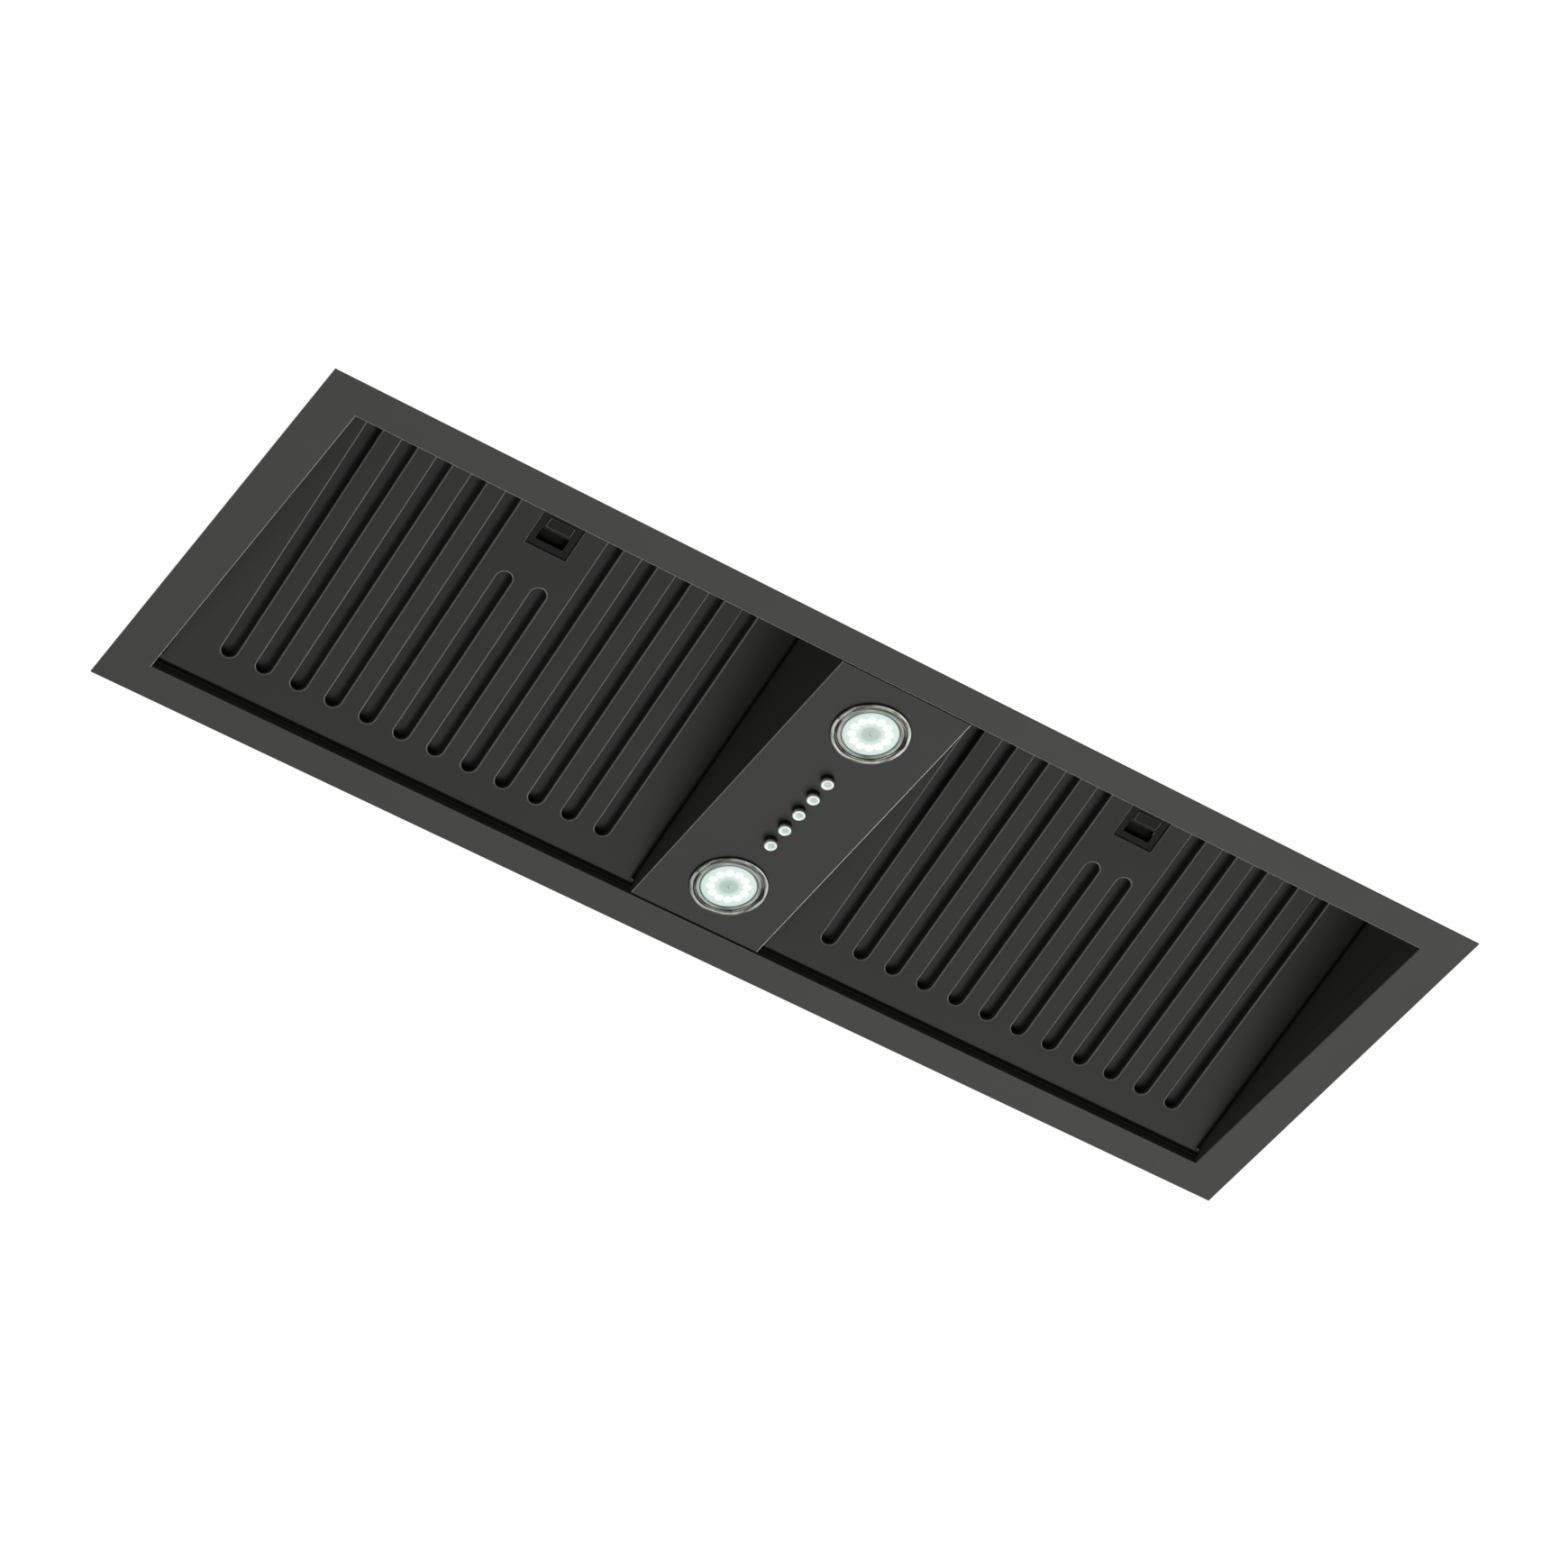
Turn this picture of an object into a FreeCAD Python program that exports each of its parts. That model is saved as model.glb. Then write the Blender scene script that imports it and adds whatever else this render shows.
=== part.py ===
import FreeCAD, Part
import Sketcher
import math
import os
import re

# Undermount range hood, in millimetres.
# Origin: centre of the cabinet cut-out, on the face of the flange that seats against the cabinet.
# +X runs along the long side, -Y is the front, +Z is up into the cabinet.

SIZES = {
    # flange and casing
    "flange_length": 860,
    "flange_depth": 292,
    "opening_length": 802,
    "opening_depth": 243,
    "casing_sheet": 1.0,
    "fold_radius": 0.8,
    "collar_height": 16,
    "wall_foot": 3,
    "front_knee": 29,
    "front_setback": 36,
    "wall_return": 15,
    "end_fold_height": 7,
    "end_gap": 0.1,
    "fixing_rear_gap": 62.5,
    "fixing_spacing": 80,
    "fixing_height": 58,
    "fixing_hole_radius": 2.4,
    "inlet_radius": 50,
    "screw_head_radius": 4,
    "screw_head_height": 2.2,
    # control panel
    "panel_width": 97,
    "panel_recess": 0.6,
    "panel_front_gap": 1.0,
    "panel_rear_gap": 1.5,
    "cover_gap": 3,
    "cover_start": 1,
    "cover_front_gap": 9,
    # lamps
    "lamp_spacing": 160,
    "lamp_rim_radius": 25.5,
    "lamp_rim_height": 1.8,
    "lamp_sleeve_radius": 22.7,
    "lamp_sleeve_height": 7,
    "lamp_wall": 1.3,
    "glass_recess": 0.4,
    "glass_thickness": 2.0,
    "led_board_inset": 5.7,
    "led_board_sheet": 1.6,
    "led_count": 12,
    "led_circle_radius": 14,
    "led_width": 3.2,
    "led_height": 0.9,
    "heatsink_base": 3,
    "heatsink_height": 12,
    "heatsink_fins": 6,
    "heatsink_fin_sheet": 2,
    "lamp_hole_gap": 0.3,
    "clip_sheet": 0.6,
    "clip_width": 10,
    "clip_height": 9,
    "clip_reach": 10,
    # push buttons and their switch block
    "button_count": 5,
    "button_pitch": 16,
    "button_radius": 4.25,
    "button_gap": 0.325,
    "button_reach": 5.5,
    "button_travel": 3,
    "button_plate_lap": 1.25,
    "button_plate_height": 1.2,
    "stem_width": 4.2,
    "stem_gap": 0.3,
    "stem_length": 13,
    "switch_gap": 0.8,
    "switch_width": 26,
    "switch_height": 18,
    "switch_foot": 4,
    # filter cells, hinge rails and front seals
    "filter_tilt": 16.2,
    "filter_gap": 1.25,
    "filter_shortfall": 31,
    "filter_depth": 8,
    "head_room": 1.671536,
    "filter_sheet": 1.0,
    "hinge_height": 5.5,
    "bead_radius": 1.5,
    "bead_gap": 0.3,
    "rail_sheet": 0.8,
    "rail_wrap": 105,
    "rail_leg": 8,
    "rim_setback": 4,
    "seal_gap": 0.3,
    "seal_front_gap": 2,
    "seal_width": 8,
    # slots and the baffles behind them
    "slot_count": 12,
    "slot_pitch": 25,
    "slot_radius": 4.75,
    "slot_lip": 0.9,
    "slot_lip_height": 3.5,
    "slot_start": 20.3,
    "slot_front_gap": 4,
    "short_slot_front_gap": 56.7,
    "baffle_sheet": 0.8,
    "baffle_width": 19.6,
    "baffle_leg": 2.8,
    "back_border": 9,
    # filter latch
    "window_width": 30,
    "window_length": 27.2,
    "window_front_gap": 7,
    "tray_width": 44,
    "tray_sheet": 1.0,
    "slide_gap": 0.3,
    "slide_sheet": 1.5,
    "slide_width": 34,
    "slide_lap": 2.3,
    "slide_ledge": 2,
    "latch_travel": 7,
    "travel_gap": 1.5,
    "finger_width": 20,
    "finger_gap": 4.9,
    "finger_length": 8.4,
    "tab_width": 18,
    "tab_gap": 1.7,
    "tab_length": 7,
    "tab_height": 1.0,
    "bolt_width": 18,
    "bolt_reach": 6,
    "bolt_gap": 0.5,
    "lug_setback": 18.2,
    "lug_width": 3.6,
    "lug_gap": 0.5,
    "lug_sheet": 2,
    "spring_sheet": 0.5,
    "keeper_sheet": 0.7,
    "keeper_width": 30,
    "keeper_setback": 1.8,
    "keeper_leg": 12,
    # blower on the top plate
    "blower_x": -60,
    "blower_rear_gap": 3.7,
    "scroll_sheet": 0.8,
    "scroll_height": 55,
    "scroll_throat": 5,
    "scroll_step": 6,
    "mouth_lip": 2,
    "wheel_radius": 60,
    "wheel_low": 5,
    "wheel_top_gap": 6,
    "wheel_ring_width": 14,
    "wheel_ring_height": 2,
    "wheel_disc_sheet": 2,
    "blade_count": 24,
    "blade_sheet": 1.2,
    "blade_inset": 2,
    "blade_depth": 10,
    "blade_lean": 8,
    "hub_radius": 12,
    "hub_length": 10,
    "shaft_radius": 4,
    "motor_radius": 38,
    "motor_length": 52,
    "motor_gap": 1,
    "bracket_sheet": 3,
    "bracket_arm_width": 10,
    "bracket_arm_lap": 8,
    "bracket_arms": 3,
    # outlet box beside the blower
    "outlet_margin": 2,
    "outlet_rear_gap": 0.5,
    "outlet_rim": 3,
    # duct collar and its two damper flaps
    "duct_radius": 75,
    "duct_sheet": 1.0,
    "duct_height": 25,
    "duct_plate_rim": 1,
    "stop_lug_height": 3,
    "stop_lug_width": 5,
    "flap_gap": 1.0,
    "flap_sheet": 0.8,
    "flap_rest_gap": 0.2,
    "flap_chord": 4,
    "pin_radius": 2,
    "pin_gap": 0.25,
    "pin_end_gap": 0.1,
    "barrel_sheet": 1.05,
    "barrel_length": 60,
    "barrel_spacing": 2,
    # wiring box beside the blower
    "wiring_x": -250,
    "wiring_rear_gap": 2.5,
    "wiring_length": 100,
    "wiring_depth": 100,
    "wiring_height": 45,
    "wiring_wall": 2,
    "terminal_length": 50,
    "terminal_depth": 16,
    "terminal_height": 18,
    "board_length": 60,
    "board_depth": 40,
    "board_sheet": 1.6,
    "board_post": 5,
    "gland_bore_radius": 4,
    "gland_nut_width": 17,
    "gland_nut_length": 12,
}

doc = FreeCAD.newDocument("undermount_range_hood")
sheet = doc.addObject("Spreadsheet::Sheet", "sizes")
for row, (alias, number) in enumerate(SIZES.items(), start=1):
    sheet.set(f"A{row}", alias)
    sheet.set(f"B{row}", str(number))
    sheet.setAlias(f"B{row}", alias)
doc.recompute()

WORD = re.compile(r"[A-Za-z_]\w*")
PLANES = {"x": "YZ_Plane", "y": "XZ_Plane", "z": "XY_Plane"}
MOUTH_RIGHT = ((0, 0, -1), "90")
SIDES = {"left": -1, "right": 1}
HEXAGON = 6
nodes = []


# Formulas on the sheet


def formula(text):
    """A formula of size names, written with the sheet's cells."""
    return WORD.sub(lambda word: f"sizes.{word[0]}" if word[0] in SIZES else word[0], str(text))


def value(text):
    """The present value of a formula."""
    return float(sheet.evalExpression(formula(text)))


def count(alias):
    """A size that is a number of pieces."""
    return int(round(value(alias)))


def flip(span, sign):
    """A span of formulas, mirrored when the sign is negative."""
    low, high = span
    return span if sign > 0 else (f"-({high})", f"-({low})")


def mirror(outline, sign):
    """An outline of plain corners, mirrored when the sign is negative."""
    return [(f"{sign}*({across})", up) for across, up in outline]


def rect(across, up):
    """A rectangle from two spans."""
    (left, right), (bottom, top) = across, up
    return [(left, bottom), (right, bottom), (right, top), (left, top)]


def even(size, shift="0"):
    """A span of a given size, centred on shift."""
    return (f"{shift} - ({size})/2", f"{shift} + ({size})/2")


def circle(across, up, radius):
    """A full circle, told from outlines by being a tuple."""
    return (across, up, radius)


def hexagon(width):
    """A hexagon measured across its flats, with its centre at the origin."""
    corners = [(math.cos(math.pi * step / 3), math.sin(math.pi * step / 3)) for step in range(HEXAGON)]
    return [(f"{across:.6f}*{width}/sqrt(3)", f"{up:.6f}*{width}/sqrt(3)") for across, up in corners]


def arc_to(point, centre, turn):
    """A corner whose edge to the next corner is an arc: turn is 1 anticlockwise, -1 clockwise."""
    return (point[0], point[1], centre, turn)


# Sketches and features


def draw_edge(sketch, corner, start, finish):
    """Add one edge and give its number, with which of its ends comes first and last."""
    if len(corner) == 2:
        return sketch.addGeometry(Part.LineSegment(start, finish)), 1, 2
    middle = FreeCAD.Vector(value(corner[2][0]), value(corner[2][1]), 0)
    turn = corner[3]
    first, last = (start, finish) if turn > 0 else (finish, start)
    angles = [math.atan2(end.y - middle.y, end.x - middle.x) for end in (first, last)]
    if angles[1] <= angles[0]:
        angles[1] += 2 * math.pi
    ring = Part.Circle(middle, FreeCAD.Vector(0, 0, 1), (start - middle).Length)
    edge = sketch.addGeometry(Part.ArcOfCircle(ring, *angles))
    return (edge, 1, 2) if turn > 0 else (edge, 2, 1)


def draw_outline(sketch, outline, constraints, formulas):
    """Add a closed outline, every corner of it bound to the sheet."""
    corners = [FreeCAD.Vector(value(corner[0]), value(corner[1]), 0) for corner in outline]
    following = corners[1:] + corners[:1]
    edges = [draw_edge(sketch, *each) for each in zip(outline, corners, following)]
    for (edge, first, last), (after, after_first, _) in zip(edges, edges[1:] + edges[:1]):
        constraints.append(Sketcher.Constraint("Coincident", edge, last, after, after_first))
    for corner, place_now, next_now, (edge, first, _) in zip(outline, corners, following, edges):
        for kind, text, now in (("DistanceX", corner[0], place_now.x), ("DistanceY", corner[1], place_now.y)):
            formulas.append((len(constraints), text))
            constraints.append(Sketcher.Constraint(kind, -1, 1, edge, first, now))
        if len(corner) > 2:
            chord = next_now - place_now
            kind, text = ("DistanceY", corner[2][1]) if abs(chord.x) >= abs(chord.y) else ("DistanceX", corner[2][0])
            formulas.append((len(constraints), text))
            constraints.append(Sketcher.Constraint(kind, -1, 1, edge, 3, value(text)))


def draw_circle(sketch, ring, constraints, formulas):
    """Add a full circle bound to the sheet."""
    middle = FreeCAD.Vector(value(ring[0]), value(ring[1]), 0)
    edge = sketch.addGeometry(Part.Circle(middle, FreeCAD.Vector(0, 0, 1), value(ring[2])))
    for kind, text in zip(("DistanceX", "DistanceY"), ring):
        formulas.append((len(constraints), text))
        constraints.append(Sketcher.Constraint(kind, -1, 1, edge, 3, value(text)))
    formulas.append((len(constraints), ring[2]))
    constraints.append(Sketcher.Constraint("Radius", edge, value(ring[2])))


def sketch_on(body, axis, lift, loops):
    """A sketch of loops on the body's plane square to an axis, lifted along the plane's normal."""
    sketch = body.newObject("Sketcher::SketchObject", f"{body.Label}_outline")
    plane = next(each for each in body.Origin.OriginFeatures if each.Role == PLANES[axis])
    sketch.AttachmentSupport = [(plane, "")]
    sketch.MapMode = "FlatFace"
    sketch.setExpression("AttachmentOffset.Base.z", formula(lift))
    constraints = []
    formulas = []
    for loop in loops:
        if isinstance(loop, tuple):
            draw_circle(sketch, loop, constraints, formulas)
        else:
            draw_outline(sketch, loop, constraints, formulas)
    sketch.addConstraint(constraints)
    for index, text in formulas:
        sketch.setExpression(f"Constraints[{index}]", formula(text))
    return sketch


def extrude(body, feature, axis, span, loops):
    """Pad or pocket loops over a span along an axis. The normal of the XZ plane points to -Y."""
    low, high = span
    lift = f"-({high})" if axis == "y" else low
    made = body.newObject(f"PartDesign::{feature}", f"{body.Label}_{feature.lower()}")
    made.Profile = sketch_on(body, axis, lift, loops)
    made.setExpression("Length", formula(f"({high}) - ({low})"))
    made.Reversed = feature == "Pocket"
    body.Tip = made
    return made


def new_body(label):
    body = doc.addObject("PartDesign::Body", label)
    body.Label = label
    return body


def keep(thing, label):
    """Name a finished sub-part, so that it is written to its own file."""
    thing.Label = label
    nodes.append(thing)
    return thing


def solid(label, axis, span, *loops):
    """A sub-part that starts as one padded outline."""
    body = keep(new_body(label), label)
    extrude(body, "Pad", axis, span, loops)
    return body


def loose(label):
    """An empty sub-part that will hold several separate solids."""
    body = keep(new_body(label), label)
    body.AllowCompound = True
    return body


def group(label, pieces):
    """A sub-part that holds several like pieces."""
    made = doc.addObject("Part::Compound", label)
    made.Links = pieces
    return keep(made, label)


def add(body, axis, span, *loops):
    extrude(body, "Pad", axis, span, loops)


def cut(body, axis, span, *loops):
    extrude(body, "Pocket", axis, span, loops)


def repeat_round(body, features, pieces):
    """Repeat features evenly round the body's Z axis."""
    pattern = body.newObject("PartDesign::PolarPattern", f"{body.Label}_pattern")
    axis = next(each for each in body.Origin.OriginFeatures if each.Role == "Z_Axis")
    pattern.Originals = features
    pattern.Axis = (axis, [""])
    pattern.Angle = 360
    pattern.setExpression("Occurrences", formula(pieces))
    body.Tip = pattern


def round_edges(body, radius, wanted):
    """Fillet the edges of the body so far that pass a test."""
    doc.recompute()
    base = body.Tip
    names = [f"Edge{number}" for number, edge in enumerate(base.Shape.Edges, start=1) if wanted(edge)]
    made = body.newObject("PartDesign::Fillet", f"{body.Label}_fillet")
    made.Base = (base, names)
    made.setExpression("Radius", formula(radius))
    body.Tip = made


def place(thing, x="0", y="0", z="0", turn=None):
    """Put a piece at its place, with an optional turn of (axis, angle)."""
    if turn:
        axis, angle = turn
        thing.Placement = FreeCAD.Placement(FreeCAD.Vector(), FreeCAD.Rotation(FreeCAD.Vector(*axis), value(angle)))
        thing.setExpression("Placement.Rotation.Angle", formula(angle))
    for letter, text in zip("xyz", (x, y, z)):
        thing.setExpression(f"Placement.Base.{letter}", formula(text))
    return thing


# Places that several pieces share

OPENING_X = "opening_length/2"
OPENING_Y = "opening_depth/2"
WALL_X = "(opening_length/2 + casing_sheet)"
WALL_Y = "(opening_depth/2 + casing_sheet)"
PANEL = "(panel_recess - casing_sheet)"
PANEL_BACK = "panel_recess"
PANEL_X = "panel_width/2"
BOARD = "(2*lamp_sleeve_radius - 2*led_board_inset)"

# The filters, measured in their own plane from the hinge axis, and the casing that they set the height of
CELL_X = "(opening_length + panel_width)/4"
CELL_WIDTH = "(opening_length - panel_width)/2"
FILTER_X = f"({CELL_WIDTH}/2 - filter_gap)"
RAIL_INNER = "(bead_radius + bead_gap)"
RAIL_OUTER = "(bead_radius + bead_gap + rail_sheet)"
HINGE_Y = f"({OPENING_Y} - {RAIL_OUTER})"
LENGTH = "(opening_depth - filter_shortfall)"
UNDER_TOP = f"(hinge_height + {LENGTH}*sin(filter_tilt) + filter_depth*cos(filter_tilt) + head_room)"
HEIGHT = f"({UNDER_TOP} + casing_sheet)"
TOP = f"({HEIGHT} + casing_sheet)"
SHOULDER = f"({HEIGHT} - end_fold_height)"
SEAT_LEAN = "(casing_sheet + filter_gap - end_gap)"
END_LEAN = f"({SEAT_LEAN}*end_fold_height/(end_fold_height - casing_sheet))"
COVER = "(filter_depth + cover_gap)"
FACE_BACK = "filter_sheet/2"
SLOT_END = f"({LENGTH} - slot_front_gap)"
SHORT_SLOT_END = f"({LENGTH} - short_slot_front_gap)"
WINDOW_END = f"({LENGTH} - window_front_gap)"
WINDOW_START = f"({WINDOW_END} - window_length)"
FINGER_START = f"({WINDOW_START} + finger_gap)"
TAB_START = f"({FINGER_START} + finger_length + tab_gap)"
SLIDE_START = f"({WINDOW_START} - slide_lap)"
SLIDE_LOW = f"({FACE_BACK} + slide_gap)"
SLIDE_HIGH = f"({SLIDE_LOW} + slide_sheet)"
LUG_START = f"({WINDOW_START} + lug_setback)"
TRAY_END = f"({LENGTH} - filter_sheet)"
TRAY_START = f"({SLIDE_START} - latch_travel - travel_gap - tray_sheet)"
TRAY_TOP = "(filter_depth - 2*baffle_sheet)"
TRAY_ROOF = f"({TRAY_TOP} - tray_sheet)"
LUG_TOP = f"({TRAY_ROOF} - lug_gap)"

# The blower and the outlet on the top plate
SPIRAL = "(wheel_radius + scroll_throat + scroll_step/2)"
MOUTH_LEFT = f"(-scroll_step/2 - {SPIRAL} - 2*scroll_step)"
MOUTH = f"({SPIRAL} + mouth_lip)"
BLOWER_Y = f"({WALL_Y} - blower_rear_gap - scroll_sheet + {MOUTH_LEFT})"
WHEEL_HIGH = "(scroll_height - wheel_top_gap)"
DISC_LOW = f"({WHEEL_HIGH} - wheel_disc_sheet)"
HUB_LOW = f"({DISC_LOW} - hub_length)"
MOTOR_TOP = f"({HUB_LOW} - motor_gap)"
CEILING = f"({TOP} + scroll_height)"
BOX_TOP = f"({CEILING} + casing_sheet)"
DUCT_PLATE = "(2*duct_radius + 2*duct_plate_rim)"
OUTLET_START = f"(blower_x + {MOUTH})"
OUTLET_LENGTH = f"({DUCT_PLATE} + 2*outlet_margin)"
OUTLET_X = f"({OUTLET_START} + {OUTLET_LENGTH}/2)"
OUTLET_Y = f"({WALL_Y} - outlet_rear_gap - {DUCT_PLATE}/2)"
LUG_LOW = f"({BOX_TOP} + stop_lug_height)"
PIN_Z = f"({LUG_LOW} + casing_sheet + flap_rest_gap + flap_sheet + pin_radius + pin_gap + barrel_sheet/2)"
WIRING_Y = f"({WALL_Y} - wiring_rear_gap - wiring_depth/2)"


def on_slope(along, above):
    """The (y, z) place of a point of the filters' own plane, measured from the hinge axis."""
    across = f"{HINGE_Y} - ({along})*cos(filter_tilt) + ({above})*sin(filter_tilt)"
    height = f"hinge_height + ({along})*sin(filter_tilt) + ({above})*cos(filter_tilt)"
    return (across, height)


def slope_height(y, above):
    """The height of a line parallel to the filters' plane, where it passes a place y."""
    return on_slope(f"({HINGE_Y} - ({y}) + ({above})*sin(filter_tilt))/cos(filter_tilt)", above)[1]


def slope_y(height, above):
    """Where a line parallel to the filters' plane reaches a height."""
    return on_slope(f"(({height}) - hinge_height - ({above})*cos(filter_tilt))/sin(filter_tilt)", above)[0]


def front_inner(height):
    """The inside of the front wall's slanted upper part, at a height."""
    return f"((({height}) - front_knee)*front_setback/({HEIGHT} - front_knee) - {WALL_Y})"


def in_cell(body, sign):
    """Put a piece made in the filters' own plane into the left or right cell, or between them."""
    return place(body, f"{sign}*{CELL_X}", HINGE_Y, "hinge_height", ((-1, 0, 0), "filter_tilt"))


# Flange, casing walls and top plate


def make_flange_frame():
    collar = ("-casing_sheet", "collar_height")
    body = solid("flange_frame", "z", ("-casing_sheet", "0"), rect(even("flange_length"), even("flange_depth")))
    add(body, "z", collar, rect((f"-{WALL_X}", WALL_X), (f"-{WALL_Y}", WALL_Y)))
    cut(body, "z", collar, rect(even("opening_length"), even("opening_depth")))

    def at_mouth(edge):
        box = edge.BoundBox
        low = abs(box.ZMin - value("-casing_sheet")) < 1e-6 and box.ZLength < 1e-6
        return low and box.XMax < value(OPENING_X) + 1e-6 and box.YMax < value(OPENING_Y) + 1e-6 \
            and box.XMin > value(f"-{OPENING_X}") - 1e-6 and box.YMin > value(f"-{OPENING_Y}") - 1e-6

    round_edges(body, "fold_radius", at_mouth)


def trim_ends(body, span):
    """Cut a long wall's upper corners to the slope of the end walls."""
    corner = [(WALL_X, SHOULDER), (WALL_X, HEIGHT), (f"{WALL_X} - {END_LEAN}", HEIGHT)]
    cut(body, "y", span, *[mirror(corner, sign) for sign in SIDES.values()])


def make_front_wall():
    """The front wall: upright foot, slanted upper part, and return under the top plate."""
    outer = f"-({WALL_Y} + casing_sheet)"
    lip = f"front_setback - {WALL_Y} + wall_return"
    body = solid("front_wall", "x", (f"-{WALL_X}", WALL_X), [
        (outer, "wall_foot"), (f"-{WALL_Y}", "wall_foot"), (f"-{WALL_Y}", "front_knee"),
        (front_inner(UNDER_TOP), UNDER_TOP), (lip, UNDER_TOP), (lip, HEIGHT), (f"front_setback {outer}", HEIGHT),
        (outer, "front_knee")])
    trim_ends(body, (outer, lip))


def make_rear_wall():
    outer = f"({WALL_Y} + casing_sheet)"
    lip = f"({WALL_Y} - wall_return)"
    body = solid("rear_wall", "x", (f"-{WALL_X}", WALL_X), [
        (outer, "wall_foot"), (outer, HEIGHT), (lip, HEIGHT), (lip, UNDER_TOP), (WALL_Y, UNDER_TOP),
        (WALL_Y, "wall_foot")])
    trim_ends(body, (lip, outer))


def make_end_wall(label, sign):
    """An end wall whose top leans in to its return under the top plate, with two holes for fixing screws."""
    depth = f"({WALL_Y} + casing_sheet)"
    outer = f"({WALL_X} + casing_sheet)"
    seat = (f"{WALL_X} - {SEAT_LEAN}", UNDER_TOP)
    crest = (f"{WALL_X} - {END_LEAN}", HEIGHT)
    body = solid(label, "y", (f"-{depth}", depth), mirror([
        (WALL_X, "wall_foot"), (outer, "wall_foot"), (outer, SHOULDER), (f"{outer} - {END_LEAN}", HEIGHT), crest,
        (WALL_X, SHOULDER)], sign))
    cut(body, "x", flip((f"{WALL_X} - {END_LEAN}", outer), sign),
        [(f"-{depth}", "front_knee"), (f"front_setback - {depth}", HEIGHT), (f"-{depth}", HEIGHT)])
    reach = f"({WALL_Y} - wall_return - casing_sheet)"
    lip = f"{WALL_X} - {END_LEAN} - wall_return"
    add(body, "y", (f"front_setback - {reach}", reach), mirror([(lip, UNDER_TOP), seat, crest, (lip, HEIGHT)], sign))
    middle = f"({WALL_Y} - fixing_rear_gap)"
    holes = [circle(f"{middle} + {way}*fixing_spacing/2", "fixing_height", "fixing_hole_radius") for way in (-1, 1)]
    cut(body, "x", flip((WALL_X, outer), sign), *holes)


def make_top_plate():
    length = f"({WALL_X} + casing_sheet - {END_LEAN})"
    depth = f"({WALL_Y} + casing_sheet)"
    solid("top_plate", "z", (HEIGHT, TOP), rect((f"-{length}", length), (f"front_setback - {depth}", depth)),
          circle("blower_x", BLOWER_Y, "inlet_radius"))


def make_screws():
    """Hexagon heads on the top plate, the scroll's cover, the duct plate and the wiring box's lid, as one group."""
    end_x = f"({WALL_X} - {END_LEAN} - wall_return/2)"
    rear_y = f"({WALL_Y} - wall_return/2)"
    front_y = f"front_setback - {rear_y}"
    plate = f"({DUCT_PLATE}/2 - 2*screw_head_radius)"
    lid_x = "(wiring_length/2 - 2*screw_head_radius)"
    lid_y = "(wiring_depth/2 - 2*screw_head_radius)"
    lid_top = f"{TOP} + wiring_height + wiring_wall"
    spots = []
    for way in (-1, 1):
        spots += [(f"{way}*{end_x}", y, TOP) for y in (rear_y, front_y)]
        spots += [(f"{way}*{end_x}/2", front_y, TOP)]
        spots += [(f"blower_x + {way}*wheel_radius*cos(45)", f"{BLOWER_Y} - wheel_radius*cos(45)",
                   f"{CEILING} + scroll_sheet")]
        spots += [(f"{OUTLET_X} + {way}*{plate}", f"{OUTLET_Y} + {side}*{plate}", f"{BOX_TOP} + casing_sheet")
                  for side in (-1, 1)]
        spots += [(f"wiring_x + {way}*{lid_x}", f"{WIRING_Y} + {side}*{lid_y}", lid_top) for side in (-1, 1)]
    heads = []
    for number, spot in enumerate(spots, start=1):
        head = doc.addObject("Part::Prism", f"screw_head_{number}")
        head.Polygon = HEXAGON
        head.setExpression("Circumradius", formula("screw_head_radius"))
        head.setExpression("Height", formula("screw_head_height"))
        heads.append(place(head, *spot))
    group("casing_screws", heads)


# Control panel, lamps and push buttons


def make_control_panel():
    """The recessed panel: plate with holes, and two side walls that close the filter cells."""
    front = f"-({OPENING_Y} - panel_front_gap)"
    rear = f"({OPENING_Y} - panel_rear_gap)"
    body = solid("control_panel", "z", (PANEL, PANEL_BACK), rect((f"-{PANEL_X}", PANEL_X), (front, rear)))
    wall = [(front, PANEL), (rear, PANEL), (rear, "wall_foot"), (OPENING_Y, "wall_foot"),
            (OPENING_Y, slope_height(OPENING_Y, COVER)), (slope_y(UNDER_TOP, COVER), UNDER_TOP),
            (f"{front_inner(UNDER_TOP)} + casing_sheet", UNDER_TOP), (f"-{OPENING_Y}", "front_knee"),
            (f"-{OPENING_Y}", "wall_foot"), (front, "wall_foot")]
    for sign in SIDES.values():
        add(body, "x", flip((f"{PANEL_X} - casing_sheet", PANEL_X), sign), wall)
    holes = [circle("0", f"{way}*lamp_spacing/2", "lamp_sleeve_radius + lamp_hole_gap") for way in (-1, 1)]
    holes += [circle("0", place_y, "button_radius + button_gap") for place_y in button_places()]
    cut(body, "z", (PANEL, PANEL_BACK), *holes)

    def at_fold(edge):
        box = edge.BoundBox
        return abs(box.ZMax - value(PANEL)) < 1e-6 and box.XLength < 1e-6

    round_edges(body, "fold_radius", at_fold)
    cover = solid("panel_cover", "z", (COVER, f"{COVER} + casing_sheet"),
                  rect((f"-{PANEL_X}", PANEL_X), (f"cover_front_gap - {LENGTH}", "-cover_start")))
    in_cell(cover, 0)


def button_places():
    pieces = count("button_count")
    return [f"{number - (pieces - 1)/2}*button_pitch" for number in range(pieces)]


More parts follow.
